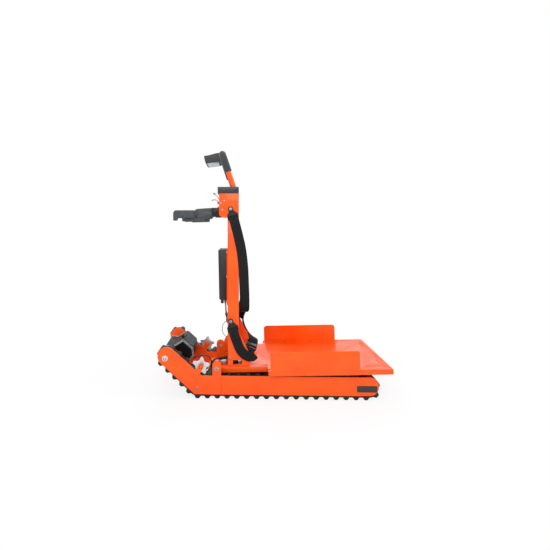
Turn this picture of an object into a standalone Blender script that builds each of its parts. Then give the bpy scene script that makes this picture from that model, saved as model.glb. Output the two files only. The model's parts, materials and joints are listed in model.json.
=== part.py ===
# Tracked stair climbing trolley.
# Units are metres and +Z is up. The load stands at +X, the operator at -X, the near side is -Y.

import math

import bmesh
import bpy
from mathutils import Vector

for old in list(bpy.data.objects):
    bpy.data.objects.remove(old, do_unlink=True)


# Driving dimensions

FIT = 0.0003              # gap between pieces that touch
SINK = 0.0005             # how far a shape reaches into the one that it is welded to
SIDES = (("near", -1), ("far", 1))

# Track units
TRACK_OUTER = 0.250       # outer face of a track unit, from the middle plane
TRACK_INNER = 0.138       # inner face of a track unit
PLATE = 0.004             # thickness of the side plates
BELT_RADIUS = 0.040       # from an axle to the neutral line of the rubber belt
NOSE_BELT_RADIUS = 0.031  # the same at the drive axle
BELT_THICK = 0.007
LUG_HEIGHT = 0.013
LUG_BASE = 0.033
LUG_TIP = 0.013
LUG_PITCH = 0.0496
LUG_PHASE = 0.03          # share of a pitch from the first corner to the first lug
BELT_SIDE_GAP = 0.0005    # between the belt and the side plates
AXLE_Z = BELT_RADIUS + BELT_THICK / 2 + LUG_HEIGHT
NOSE_X = -0.537           # drive axle, at the front under the operator
NOSE_Z = 0.201
CORNER_X = -0.3745        # axle where the track bends down to the floor
REAR_X = 0.482            # axle under the load
STAR_X = -0.356           # star wheel that presses the belt down
STAR_Z = 0.163
STAR_RUN = 0.062          # from the star axle to the neutral line of the belt
STAR_TEETH = 5
STAR_TIP = 0.044
STAR_ROOT = 0.0290
STAR_THICK = 0.005
STAR_TURN = 83.0          # angle of one tooth, in degrees
PLATE_ABOVE = 0.0595      # edge of the side plates above and below the line of the axles
PLATE_BELOW = 0.0335
LOW_PLATE_ABOVE = 0.0335  # upper edge of the plate on the far side of each unit
SEAM_X = -0.2545          # joint of the two outer plates
WHEEL_RADIUS = 0.035
WHEEL_SIDE_GAP = 0.0045   # between the wheels and the side plates
WHEEL_GROOVES = 12
PIN_RADIUS = 0.008
PIN_EXTRA = 0.004         # how far a pivot pin reaches past the deck rail
STAR_PIN = 0.006
SHAFT_RADIUS = 0.011
STAR_GAP = 0.0025         # between the star wheels and the side plates
STAR_HUB = 0.012
STAR_HUB_LENGTH = 0.022
FINGER_X = -0.383         # lower end of the fingers that hold the star wheel
FINGER_Z = 0.113
FINGER_HALF = 0.013
FINGER_THICK = 0.005
BEAM_GAP = 0.0005         # between the belt and the slide beams
BEAM_END_GAP = 0.007
SLOPE_BEAM_TOP = 0.0255
BADGE_START = 0.4191
BADGE_END = 0.5195
BADGE_LOW = 0.0422
BADGE_HIGH = 0.0732

# Motor and gearbox, measured along the incline from the drive axle and square to it
MOUNT_TOP = -0.0203
MOTOR_HALF = 0.095
MOTOR_TOP = 0.087
MOTOR_SIDE = 0.118
MOTOR_OUTLINE = [(-0.027, -0.020), (-0.027, 0.004), (0.0, 0.022), (0.0192, MOTOR_TOP),
                 (0.088, MOTOR_TOP), (MOTOR_SIDE, 0.060), (MOTOR_SIDE, -0.020)]
MOTOR_COVER = [(-0.022, -0.016), (-0.022, 0.002), (0.004, 0.019), (0.022, 0.082), (0.086, 0.082),
               (0.113, 0.057), (0.113, -0.016)]
RIB_COUNT = 5
RIB_HALF = 0.085
RIB_BASE = 0.002
RIB_HEIGHT = 0.007

# Tilting platform
PIVOT_X = -0.2765
PIVOT_Z = 0.1515
EAR_WIDTH = 0.044         # pivot ears of the side plates
EAR_TOP = 0.190
DECK_TILT = 1.4           # resting slope of the deck, in degrees
RAIL_INNER = 0.165
RAIL_OUTER = 0.207
RAIL_BOTTOM = -0.0345     # heights on the deck are measured from the pivot
DECK_TOP = -0.0095
DECK_SHEET = 0.003
SKIRT_BOTTOM = -0.0345
DECK_NARROW = 0.170       # distances along the deck are measured from the pivot
DECK_WIDE = 0.2575
DECK_END = 0.869
DECK_HALF = 0.268
RAIL_END = 0.800
EAR_RADIUS = 0.020
DECK_TIES = (0.300, 0.740)
TIE_WIDTH = 0.030
GUARD_START = 0.2675
GUARD_END = 0.7065
GUARD_TOP = 0.0835
GUARD_CORNERS = {"near": 0.007, "far": 0.018}

# Mast
MAST_LEFT = -0.224
MAST_RIGHT = -0.166
MAST_INNER = 0.147
MAST_OUTER = 0.185
MAST_BOTTOM = 0.176
MAST_TOP = 0.9122
MAST_WALL = 0.0025
GUSSET = 0.004
BOX_LEFT = -0.268
BOX_RIGHT = -0.1665
BOX_HALF = 0.189
BOX_TOP = 1.034
CAP_TOP = 1.068
SHELL = 0.002
CAP_LEFT = -0.2756
CAP_RIGHT = -0.166
CAP_HALF = 0.190
CAP_WALL = 0.003

# Battery
BATTERY_HALF = 0.085
BATTERY_LOW = 0.4665
BATTERY_HIGH = 0.7380
BATTERY_BACK = -0.2780
BATTERY_TAPER = 0.006
TRAY_HALF = 0.185
TRAY_MARGIN = 0.011

# Handles
BAR_X = -0.195            # telescopic legs of the handlebar
BAR_Y = 0.166
BAR_RADIUS = 0.014
BAR_WALL = 0.002
BAR_BEND_Z = 1.072
BAR_TOP_X = -0.2535
BAR_TOP_Z = 1.245
BAR_CORNER = 0.040
BAR_LEG_END = 0.780
FOAM_RADIUS = 0.019
FOLD_X = -0.292           # hinge of the folding handles
FOLD_Z = 0.9387
ARM_INNER = 0.152
ARM_OUTER = 0.178
ARM_TOP = 0.955
ARM_PEAK = 0.960          # top of the arm next to its hinge
ARM_LOW = 0.908
ARM_UNDER_HINGE = 0.0185  # depth of the arm below the hinge, where it folds past the box
ARM_END = -0.383
ARM_HUB = 0.018
CHEEK = 0.004
CHEEK_LOW = 0.1475
CHEEK_HIGH = 0.1825
CLEVIS_X = -0.306
GRIP_END = -0.507
GRIP_LOW = 0.9065
GRIP_HIGH = 0.948
GRIP_HOOK = 0.8936
GRIP_WIDTH = 0.036
FOAM_SHARE = 0.439        # the foam starts at this share of the sloping leg
FOAM_END_Y = 0.085
PALM_HALF = 0.080

# Controls
STICK_X = -0.2755
STICK_Y = -0.040
STICK_Z = 1.0190
RED_X = -0.2760
RED_Y = -0.070
RED_Z = 0.9920
STOP_Y = -0.100
STOP_Z = 0.956

# Lifting actuator
EYE_X = -0.2908
EYE_Z = 0.1062
BARREL_RADIUS = 0.018
BARREL_START = -0.236
BARREL_END = -0.171
ROD_RADIUS = 0.010
TRUNNION_X = -0.125
TRUNNION_PIN = -0.148
EYE_RADIUS = 0.012
EYE_HOLE = 0.0073

WEBBING = 0.050
WEBBING_THICK = 0.0024
FITTING_THICK = 0.003
UPPER_BOLT = (-0.2085, 0.9530)
LOWER_BOLT = (-0.2075, 0.3755)
UPPER_LEAN = -72.0        # directions of the belt ends, in degrees
NEAR_LOWER_LEAN = -74.0
FAR_LOWER_LEAN = -38.0
SLOT_START = 0.034
SLOT_END = 0.042
FITTING_SHAPE = [(-0.013, -0.013), (0.012, -0.013), (0.030, -0.029), (0.052, -0.029),
                 (0.052, 0.029), (0.030, 0.029), (0.012, 0.013), (-0.013, 0.013)]
RATCHET_CENTRE = (-0.1000, -0.1180, 0.2310)
MAST_CABLE_Y = -0.070
CONDUIT_Y = -0.060
CONDUIT_RADIUS = 0.0085


# Derived values

INCLINE = math.atan2(NOSE_Z - AXLE_Z, CORNER_X - NOSE_X)
BELT_LOW = TRACK_INNER + PLATE + BELT_SIDE_GAP
BELT_HIGH = TRACK_OUTER - PLATE - BELT_SIDE_GAP
TRACK_MIDDLE = (TRACK_INNER + TRACK_OUTER) / 2
WHEEL_WIDTH = TRACK_OUTER - TRACK_INNER - 2 * (PLATE + WHEEL_SIDE_GAP)
NOSE_WHEEL_RADIUS = NOSE_BELT_RADIUS - BELT_RADIUS + WHEEL_RADIUS
TILT = math.radians(DECK_TILT)


# Materials

def principled(name, colour, metallic, roughness):
    made = bpy.data.materials.new(name)
    made.use_nodes = True
    shader = made.node_tree.nodes["Principled BSDF"]
    shader.inputs["Base Color"].default_value = (*colour, 1.0)
    shader.inputs["Metallic"].default_value = metallic
    shader.inputs["Roughness"].default_value = roughness
    return made


LOOKS = {
    "orange_paint": ((0.95, 0.13, 0.02), 0.0, 0.35),
    "track_rubber": ((0.02, 0.02, 0.02), 0.0, 0.80),
    "grip_rubber": ((0.035, 0.04, 0.045), 0.0, 0.75),
    "bright_steel": ((0.75, 0.75, 0.76), 1.0, 0.30),
    "black_plastic": ((0.02, 0.02, 0.022), 0.0, 0.45),
    "motor_black": ((0.03, 0.03, 0.03), 0.2, 0.45),
    "cast_grey": ((0.15, 0.17, 0.18), 0.8, 0.50),
    "webbing": ((0.015, 0.018, 0.02), 0.0, 0.85),
    "red_plastic": ((0.70, 0.02, 0.02), 0.0, 0.35),
    "black_steel": ((0.03, 0.03, 0.03), 0.6, 0.40),
}


# Placing functions turn an outline's two coordinates and a thickness into a point

def side_view(u, v, w):
    return u, w, v


def front_view(u, v, w):
    return w, u, v


def top_view(u, v, w):
    return u, v, w


def incline_view(u, v, w):
    """Along the inclined run from the drive axle, and square to it."""
    x = NOSE_X + u * math.cos(INCLINE) + v * math.sin(INCLINE)
    z = NOSE_Z - u * math.sin(INCLINE) + v * math.cos(INCLINE)
    return x, w, z


def deck_view(u, v, w):
    """Along the deck from the pivot, and square to it."""
    x = PIVOT_X + u * math.cos(TILT) - v * math.sin(TILT)
    z = PIVOT_Z + u * math.sin(TILT) + v * math.cos(TILT)
    return x, w, z


def deck_top_view(u, v, w):
    return deck_view(u, w, v)


# Outlines

def arc(x, z, radius, start, end, steps):
    """Points on an arc, with its angles in degrees."""
    points = []
    for k in range(steps + 1):
        angle = math.radians(start + (end - start) * k / steps)
        points.append((x + radius * math.cos(angle), z + radius * math.sin(angle)))
    return points


def circle(x, z, radius, steps=24):
    return arc(x, z, radius, 0, 360, steps)[:-1]


def rectangle(low_x, high_x, low_z, high_z):
    return [(low_x, low_z), (high_x, low_z), (high_x, high_z), (low_x, high_z)]


def stadium(x, z, end_x, end_z, radius, steps=8):
    angle = math.degrees(math.atan2(end_z - z, end_x - x))
    return (arc(end_x, end_z, radius, angle - 90, angle + 90, steps)
            + arc(x, z, radius, angle + 90, angle + 270, steps))


def fillet(before, corner, after, radius, steps):
    """Points of the arc that rounds one corner."""
    before = Vector(before)
    corner = Vector(corner)
    after = Vector(after)
    first = (before - corner).normalized()
    last = (after - corner).normalized()
    half = first.angle(last) / 2
    if radius == 0 or half > 1.56:
        return [corner]
    centre = corner + (first + last).normalized() * radius / math.sin(half)
    start = corner + first * radius / math.tan(half) - centre
    end = corner + last * radius / math.tan(half) - centre
    sweep = start.angle(end)
    points = []
    for k in range(steps + 1):
        part = k / steps
        turned_start = start * math.sin((1 - part) * sweep)
        turned_end = end * math.sin(part * sweep)
        points.append(centre + (turned_start + turned_end) / math.sin(sweep))
    return points


def rounded(outline, radii, steps=4):
    """A closed outline with round corners; radii is one value or one for each corner."""
    count = len(outline)
    if not isinstance(radii, (list, tuple)):
        radii = [radii] * count
    points = []
    for i in range(count):
        points += fillet(outline[i - 1], outline[i], outline[(i + 1) % count], radii[i], steps)
    return [(p[0], p[1]) for p in points]


def rounded_path(points, radii, steps=5):
    """An open path with round corners; radii has a value for each inner point."""
    path = [Vector(points[0])]
    for i, radius in enumerate(radii):
        path += fillet(points[i], points[i + 1], points[i + 2], radius, steps)
    return path + [Vector(points[-1])]


def smooth_path(points, steps=4):
    """A soft curve through the points."""
    points = [Vector(p) for p in points]
    path = []
    for i in range(len(points) - 1):
        before = points[max(i - 1, 0)]
        start = points[i]
        end = points[i + 1]
        after = points[min(i + 2, len(points) - 1)]
        for k in range(steps):
            t = k / steps
            path.append(0.5 * (2 * start + (end - before) * t
                               + (2 * before - 5 * start + 4 * end - after) * t ** 2
                               + (3 * start - before - 3 * end + after) * t ** 3))
    return path + [points[-1]]


def cable_path(start, points, end, steps=3):
    """A soft curve with a straight stub at each end."""
    return [Vector(start)] + smooth_path(points, steps) + [Vector(end)]


# Solids

def ring_of(bm, points):
    return [bm.verts.new(p) for p in points]


def bridge(bm, lower, upper):
    """Faces between two rings of points; a ring may be a single point."""
    count = max(len(lower), len(upper))
    faces = []
    for i in range(count):
        j = (i + 1) % count
        if len(lower) == 1:
            corners = (lower[0], upper[j], upper[i])
        elif len(upper) == 1:
            corners = (lower[i], lower[j], upper[0])
        else:
            corners = (lower[i], lower[j], upper[j], upper[i])
        faces.append(bm.faces.new(corners))
    return faces


def finish(bm, faces):
    bmesh.ops.recalc_face_normals(bm, faces=faces)


def extrude(bm, outline, low, high, place=side_view, hole=None):
    """A plate of an outline, with an optional hole of as many points."""
    bottom = ring_of(bm, [place(u, v, low) for u, v in outline])
    top = ring_of(bm, [place(u, v, high) for u, v in outline])
    faces = bridge(bm, bottom, top)
    if hole is None:
        faces.append(bm.faces.new(bottom))
        faces.append(bm.faces.new(top))
    else:
        hole_bottom = ring_of(bm, [place(u, v, low) for u, v in hole])
        hole_top = ring_of(bm, [place(u, v, high) for u, v in hole])
        faces += bridge(bm, hole_bottom, hole_top)
        faces += bridge(bm, bottom, hole_bottom)
        faces += bridge(bm, top, hole_top)
    finish(bm, faces)


def block(bm, low_x, high_x, low_y, high_y, low_z, high_z):
    extrude(bm, rectangle(low_x, high_x, low_z, high_z), low_y, high_y)


def turned(bm, profile, base, axis, sides=16, closed=False):
    """A solid of revolution from (radius, height) points along an axis."""
    axis = Vector(axis).normalized()
    across = axis.orthogonal().normalized()
    third = axis.cross(across)
    rings = []
    for radius, height in profile:
        middle = Vector(base) + axis * height
        if radius == 0:
            rings.append(ring_of(bm, [middle]))
            continue
        points = []
        for k in range(sides):
            angle = 2 * math.pi * k / sides
            points.append(middle + (across * math.cos(angle) + third * math.sin(angle)) * radius)
        rings.append(ring_of(bm, points))
    faces = []
    for lower, upper in zip(rings, rings[1:]):
        faces += bridge(bm, lower, upper)
    if closed:
        faces += bridge(bm, rings[-1], rings[0])
    else:
        for ring in (rings[0], rings[-1]):
            if len(ring) > 1:
                faces.append(bm.faces.new(ring))
    finish(bm, faces)


def rod(bm, start, end, radius, sides=16, bore=0.0):
    length = (Vector(end) - Vector(start)).length
    axis = Vector(end) - Vector(start)
    if bore:
        profile = [(radius, 0), (radius, length), (bore, length), (bore, 0)]
        turned(bm, profile, start, axis, sides, closed=True)
    else:
        turned(bm, [(radius, 0), (radius, length)], start, axis, sides)


def directions(path):
    tangents = []
    for i in range(len(path)):
        tangents.append((path[min(i + 1, len(path) - 1)] - path[max(i - 1, 0)]).normalized())
    return tangents


def tube(bm, path, radius, reference, sides=12, bore=0.0):
    """A round tube along a path; the reference direction is never along the path."""
    reference = Vector(reference)
    outer = []
    inner = []
    for point, tangent in zip(path, directions(path)):
        across = (reference - tangent * reference.dot(tangent)).normalized()
        third = tangent.cross(across)
        around = []
        for k in range(sides):
            angle = 2 * math.pi * k / sides
            around.append(across * math.cos(angle) + third * math.sin(angle))
        outer.append(ring_of(bm, [point + a * radius for a in around]))
        if bore:
            inner.append(ring_of(bm, [point + a * bore for a in around]))
    faces = []
    for lower, upper in zip(outer, outer[1:]):
        faces += bridge(bm, lower, upper)
    for lower, upper in zip(inner, inner[1:]):
        faces += bridge(bm, lower, upper)
    if bore:
        faces += bridge(bm, outer[0], inner[0])
        faces += bridge(bm, outer[-1], inner[-1])
    else:
        faces.append(bm.faces.new(outer[0]))
        faces.append(bm.faces.new(outer[-1]))
    finish(bm, faces)


def strap(bm, stations, width, thick, steps=3):
    """A flat strap through stations, each a point and the direction of the strap's width."""
    path = smooth_path([point for point, _ in stations], steps)
    widths = smooth_path([across for _, across in stations], steps)
    rings = []
    for point, tangent, across in zip(path, directions(path), widths):
        across = (across - tangent * across.dot(tangent)).normalized() * width / 2
        out = tangent.cross(across).normalized() * thick / 2
        rings.append(ring_of(bm, [point + across + out, point - across + out,
                                  point - across - out, point + across - out]))
    faces = []
    for lower, upper in zip(rings, rings[1:]):
        faces += bridge(bm, lower, upper)
    faces.append(bm.faces.new(rings[0]))
    faces.append(bm.faces.new(rings[-1]))
    finish(bm, faces)


def screw_head(bm, x, z, face_y, side, radius, height=0.003, sides=8):
    """A plain head on a side face, pointing outwards."""
    profile = [(0, -SINK), (radius, -SINK), (radius, height), (0, height)]
    turned(bm, profile, (x, side * face_y, z), (0, side, 0), sides)


def bolt(bm, x, z, face_y, side, washer, head, height=0.005, sides=12):
    """A washer and a low head that sit on a side face, pointing outwards."""
    thick = 0.0015
    profile = [(0, -SINK), (washer, -SINK), (washer, thick), (head, thick),
               (head, thick + height * 0.75), (head * 0.8, thick + height), (0, thick + height)]
    turned(bm, profile, (x, side * face_y, z), (0, side, 0), sides)


def piece(name, bm, look, origin=(0, 0, 0), smooth=False):
    """One sub-part, with its origin on its joint's axis where it moves."""
    origin = Vector(origin)
    bmesh.ops.translate(bm, verts=bm.verts, vec=-origin)
    mesh = bpy.data.meshes.new(name)
    bm.to_mesh(mesh)
    bm.free()
    if look:
        mesh.materials.append(principled(name + "_" + look, *LOOKS[look]))
    made = bpy.data.objects.new(name, mesh)
    made.location = origin
    bpy.context.collection.objects.link(made)
    if smooth:
        mesh.shade_smooth()
        mesh.set_sharp_from_angle(angle=math.radians(35))
    return made


def combine(made, bm, operation):
    tool = piece(made.name + "_" + operation.lower(), bm, None)
    tool.hide_render = True
    tool.display_type = "WIRE"
    step = made.modifiers.new(operation.title(), "BOOLEAN")
    step.operation = operation
    step.solver = "EXACT"
    step.object = tool
    return step


def cut(made, bm):
    """Cut one or more closed shapes out of a piece."""
    combine(made, bm, "DIFFERENCE")


def weld(made, bm):
    """Join shapes that overlap, both those of the piece and the added ones, into one body."""
    combine(made, bm, "UNION").use_self = True


def span(side, low, high):
    """Y limits on one side, lowest first."""
    return (low, high) if side > 0 else (-high, -low)


PIVOT = (PIVOT_X, 0, PIVOT_Z)


# Side plates of the track units: the outer ones in two pieces, the inner ones in one

def is_high(side, outer):
    """Both units are the same way round: the high plate with the ear is the one nearer to -Y."""
    return (side < 0) == outer


def plate_front(high):
    """Lower corner, round the nose, back along the top and, on a high plate, round the ear."""
    above = PLATE_ABOVE if high else LOW_PLATE_ABOVE
    middle = (above - PLATE_BELOW) / 2
    radius = (above + PLATE_BELOW) / 2
    lean = math.tan(INCLINE / 2)
    centre_x, _, centre_z = incline_view(0, middle, 0)
    down = 270 - math.degrees(INCLINE)
    half = EAR_WIDTH / 2
    points = [(CORNER_X - PLATE_BELOW * lean, AXLE_Z - PLATE_BELOW)]
    points += arc(centre_x, centre_z, radius, down, down - 180, 14)
    points += [(CORNER_X + above * lean, AXLE_Z + above)]
    if high:
        points += [(PIVOT_X - half, AXLE_Z + above)]
        points += arc(PIVOT_X, EAR_TOP - half, half, 180, 0, 10)
    return points


def plate_rear(start, high):
    above = PLATE_ABOVE if high else LOW_PLATE_ABOVE
    middle = (above - PLATE_BELOW) / 2
    radius = (above + PLATE_BELOW) / 2
    points = [(start, AXLE_Z + above)]
    points += arc(REAR_X, AXLE_Z + middle, radius, 90, -90, 14)
    points += [(start, AXLE_Z - PLATE_BELOW)]
    return points


def shaft_hole(low, high):
    bm = bmesh.new()
    extrude(bm, circle(NOSE_X, NOSE_Z, SHAFT_RADIUS + FIT, 16), low, high)
    return bm


for name, side in SIDES:
    low, high = span(side, TRACK_OUTER - PLATE, TRACK_OUTER)
    is_tall = is_high(side, True)
    outline = plate_front(is_tall)
    if not is_tall:
        outline += [(SEAM_X, AXLE_Z + LOW_PLATE_ABOVE)]
    bm = bmesh.new()
    extrude(bm, outline + [(SEAM_X, AXLE_Z - PLATE_BELOW)], low, high)
    plate = piece(name + "_front_plate", bm, "orange_paint")
    bm = bmesh.new()
    bolt(bm, CORNER_X, AXLE_Z, TRACK_OUTER, side, 0.0085, 0.0062)
    if is_tall:
        bolt(bm, PIVOT_X, PIVOT_Z, TRACK_OUTER, side, 0.0105, 0.0085)
        pin_end = side * (RAIL_INNER - PIN_EXTRA)
        rod(bm, (PIVOT_X, side * (TRACK_OUTER - PLATE / 2), PIVOT_Z), (PIVOT_X, pin_end, PIVOT_Z),
            PIN_RADIUS)
    weld(plate, bm)
    cut(plate, shaft_hole(low - 0.01, high + 0.01))
    bm = bmesh.new()
    extrude(bm, plate_rear(SEAM_X + 2 * FIT, is_tall), low, high)
    piece(name + "_rear_plate", bm, "orange_paint")
    bm = bmesh.new()
    badge = rounded(rectangle(BADGE_START, BADGE_END, BADGE_LOW, BADGE_HIGH), 0.006)
    extrude(bm, badge, *span(side, TRACK_OUTER + FIT, TRACK_OUTER + FIT + 0.0015))
    piece(name + "_badge_plate", bm, "black_plastic")


# Chassis frame: inner plates, slide beams, wheel pins, fingers and cross members, welded

def beam(bm, start, heading, length, bottom, top, side):
    """An I section along a line, from the inner plate to just short of the outer one."""
    web = 0.008
    flange = 0.005
    low, high = span(side, TRACK_INNER + PLATE - SINK, TRACK_OUTER - PLATE - FIT)
    middle = (low + high) / 2
    left = middle - web / 2
    right = middle + web / 2
    section = [(low, bottom), (high, bottom), (high, bottom + flange), (right, bottom + flange),
               (right, top - flange), (high, top - flange), (high, top), (low, top),
               (low, top - flange), (left, top - flange), (left, bottom + flange),
               (low, bottom + flange)]
    along = (math.cos(heading), math.sin(heading))

    def place(u, v, w):
        return start[0] + along[0] * w - along[1] * v, u, start[1] + along[1] * w + along[0] * v

    extrude(bm, section, 0, length, place)


def channel(bm, low_x, high_x, low_z, high_z, wall):
    """A C section across the chassis, open towards the load."""
    shape = [(low_x, low_z), (high_x, low_z), (high_x, low_z + wall), (low_x + wall, low_z + wall),
             (low_x + wall, high_z - wall), (high_x, high_z - wall), (high_x, high_z),
             (low_x, high_z)]
    extrude(bm, shape, -TRACK_INNER - SINK, TRACK_INNER + SINK)


beam_half = BELT_RADIUS - BELT_THICK / 2 - BEAM_GAP
beam_start = CORNER_X + WHEEL_RADIUS + BEAM_END_GAP
beam_length = REAR_X - WHEEL_RADIUS - BEAM_END_GAP - beam_start
slope_start = WHEEL_RADIUS + BEAM_END_GAP
slope_length = math.hypot(CORNER_X - NOSE_X, NOSE_Z - AXLE_Z) - 2 * slope_start
slope_heading = INCLINE + math.asin((BELT_RADIUS - NOSE_BELT_RADIUS) / (slope_length + 2 * slope_start))
slope_low = NOSE_BELT_RADIUS - BELT_THICK / 2 - BEAM_GAP
slope_x = NOSE_X + slope_start * math.cos(slope_heading)
slope_z = NOSE_Z - slope_start * math.sin(slope_heading)
finger_inner = TRACK_INNER - FINGER_THICK
cross_half = TRACK_INNER + SINK

bm = bmesh.new()
for name, side in SIDES:
    low, high = span(side, TRACK_INNER, TRACK_INNER + PLATE)
    is_tall = is_high(side, False)
    extrude(bm, plate_front(is_tall) + plate_rear(PIVOT_X + EAR_WIDTH / 2, is_tall), low, high)
frame = piece("chassis_frame", bm, "orange_paint")
bm = bmesh.new()
for name, side in SIDES:
    beam(bm, (beam_start, AXLE_Z), 0, beam_length, -beam_half, beam_half, side)
    beam(bm, (slope_x, slope_z), -slope_heading, slope_length, -slope_low, SLOPE_BEAM_TOP, side)
    low, high = span(side, TRACK_INNER + PLATE - SINK, TRACK_OUTER - PLATE - FIT)
    for x, z in ((CORNER_X, AXLE_Z), (REAR_X, AXLE_Z)):
        rod(bm, (x, low, z), (x, high, z), PIN_RADIUS)
        screw_head(bm, x, z, -TRACK_INNER, -side, 0.0095, 0.005)
    if is_high(side, False):
        inside = TRACK_INNER + PLATE - SINK
        rod(bm, (PIVOT_X, side * inside, PIVOT_Z), (PIVOT_X, side * (RAIL_OUTER + PIN_EXTRA), PIVOT_Z),
            PIN_RADIUS)
        screw_head(bm, PIVOT_X, PIVOT_Z, -TRACK_INNER, -side, 0.0110, 0.005)
        finger = stadium(FINGER_X, FINGER_Z, STAR_X, STAR_Z, FINGER_HALF)
        extrude(bm, finger, *span(side, finger_inner, TRACK_INNER + SINK))
        star_pin_end = TRACK_INNER + PLATE + STAR_GAP + STAR_HUB_LENGTH + PIN_EXTRA
        rod(bm, (STAR_X, side * (finger_inner + SINK), STAR_Z), (STAR_X, side * star_pin_end, STAR_Z),
            STAR_PIN, 12)
        screw_head(bm, STAR_X, STAR_Z, -finger_inner, -side, 0.0085, 0.005)
extrude(bm, rectangle(0.0, 0.160, MOUNT_TOP - 0.004, MOUNT_TOP), -cross_half, cross_half, incline_view)
channel(bm, -0.335, -0.305, 0.045, 0.088, 0.004)
channel(bm, 0.385, 0.425, 0.040, 0.095, 0.004)
rod(bm, (TRUNNION_X, -cross_half, EYE_Z), (TRUNNION_X, cross_half, EYE_Z), 0.014, 16)
holder = rounded(rectangle(TRUNNION_X - 0.020, TRUNNION_X + 0.020, EYE_Z - 0.034, EYE_Z + 0.020), 0.008)
extrude(bm, holder, -cross_half, 0.005 - TRACK_INNER)
for side in (-1, 1):
    ear = rectangle(TRUNNION_PIN - 0.0085, TRUNNION_X, EYE_Z - 0.008, EYE_Z + 0.008)
    extrude(bm, rounded(ear, [0.005, 0, 0, 0.005]), *span(side, 0.0066, 0.0110))
rod(bm, (TRUNNION_PIN, -0.0090, EYE_Z), (TRUNNION_PIN, 0.0090, EYE_Z), 0.0035, 12)
weld(frame, bm)
cut(frame, shaft_hole(-TRACK_OUTER, TRACK_OUTER))


# Finger on the outer plate of the near unit, with the pin of its star wheel

bm = bmesh.new()
finger_start = TRACK_OUTER + FIT
finger = stadium(FINGER_X, FINGER_Z, STAR_X, STAR_Z, FINGER_HALF)
extrude(bm, finger, -finger_start - FINGER_THICK, -finger_start)
bracket = piece("near_star_bracket", bm, "orange_paint")
bm = bmesh.new()
pin_end = TRACK_OUTER - PLATE - STAR_GAP - STAR_HUB_LENGTH - PIN_EXTRA
rod(bm, (STAR_X, -pin_end, STAR_Z), (STAR_X, -finger_start - SINK, STAR_Z), STAR_PIN, 12)
bolt(bm, STAR_X, STAR_Z, finger_start + FINGER_THICK, -1, 0.0085, 0.0065)
screw_head(bm, FINGER_X, FINGER_Z, finger_start + FINGER_THICK, -1, 0.0050)
weld(bracket, bm)


# Rubber track belts: lines and arcs round the wheels, the star wheel pressing from outside

BELT_CIRCLES = ((CORNER_X, AXLE_Z, BELT_RADIUS), (REAR_X, AXLE_Z, BELT_RADIUS),
                (STAR_X, STAR_Z, -STAR_RUN), (NOSE_X, NOSE_Z, NOSE_BELT_RADIUS))


def belt_runs():
    """The loop as (start, direction angle, length, radius) runs, radius 0 for a line."""
    count = len(BELT_CIRCLES)
    lines = []
    for i in range(count):
        x, z, radius = BELT_CIRCLES[i]
        next_x, next_z, next_radius = BELT_CIRCLES[(i + 1) % count]
        gap = math.hypot(next_x - x, next_z - z)
        heading = math.atan2(next_z - z, next_x - x) + math.asin((radius - next_radius) / gap)
        length = math.sqrt(gap ** 2 - (next_radius - radius) ** 2)
        start = Vector((x, z)) + out_of(heading) * radius
        lines.append((start, heading, length))
    runs = []
    for i in range(count):
        start, heading, length = lines[i]
        runs.append((start, heading, length, 0.0))
        end = start + Vector((math.cos(heading), math.sin(heading))) * length
        radius = BELT_CIRCLES[(i + 1) % count][2]
        turn = (lines[(i + 1) % count][1] - heading) % (2 * math.pi)
        if radius < 0:
            turn -= 2 * math.pi
        runs.append((end, heading, turn * radius, radius))
    return runs


def out_of(heading):
    """Outward direction of the loop where it runs along a heading."""
    return Vector((math.sin(heading), -math.cos(heading)))


BELT_RUNS = belt_runs()
BELT_LENGTH = sum(run[2] for run in BELT_RUNS)
LUG_COUNT = round(BELT_LENGTH / LUG_PITCH)
LUG_STEP = BELT_LENGTH / LUG_COUNT


def belt_point(distance):
    """Point of the neutral line and outward direction there."""
    distance %= BELT_LENGTH
    for start, heading, length, radius in BELT_RUNS:
        if distance <= length:
            break
        distance -= length
    if radius:
        angle = heading + distance / radius
        centre = start - out_of(heading) * radius
        return centre + out_of(angle) * radius, out_of(angle)
    return start + Vector((math.cos(heading), math.sin(heading))) * distance, out_of(heading)


def belt_is_curved(low, high):
    middle = (low + high) / 2
    out = belt_point(middle)[1]
    return max(out.angle(belt_point(low)[1]), out.angle(belt_point(high)[1])) > 0.02


def belt_pitches():
    """Inner and outer points of each lug and of the gap after it."""
    half = BELT_THICK / 2
    pitches = []
    for k in range(LUG_COUNT):
        middle = (k + LUG_PHASE) * LUG_STEP
        start = middle - LUG_BASE / 2
        end = middle + LUG_BASE / 2
        lug_middle = [middle] if belt_is_curved(start, end) else []
        gap_middle = [middle + LUG_STEP / 2] if belt_is_curved(end, start + LUG_STEP) else []
        inner = [(s, -half) for s in [start] + lug_middle + [end] + gap_middle]
        outer = [(start, half), (middle - LUG_TIP / 2, half + LUG_HEIGHT),
                 (middle + LUG_TIP / 2, half + LUG_HEIGHT), (end, half)]
        outer += [(s, half) for s in gap_middle]
        levels = []
        for stations in (inner, outer):
            points = []
            for s, offset in stations:
                point, out = belt_point(s)
                points.append(point + out * offset)
            levels.append(points)
        pitches.append((levels[0], levels[1], len(gap_middle)))
    return pitches


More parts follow.
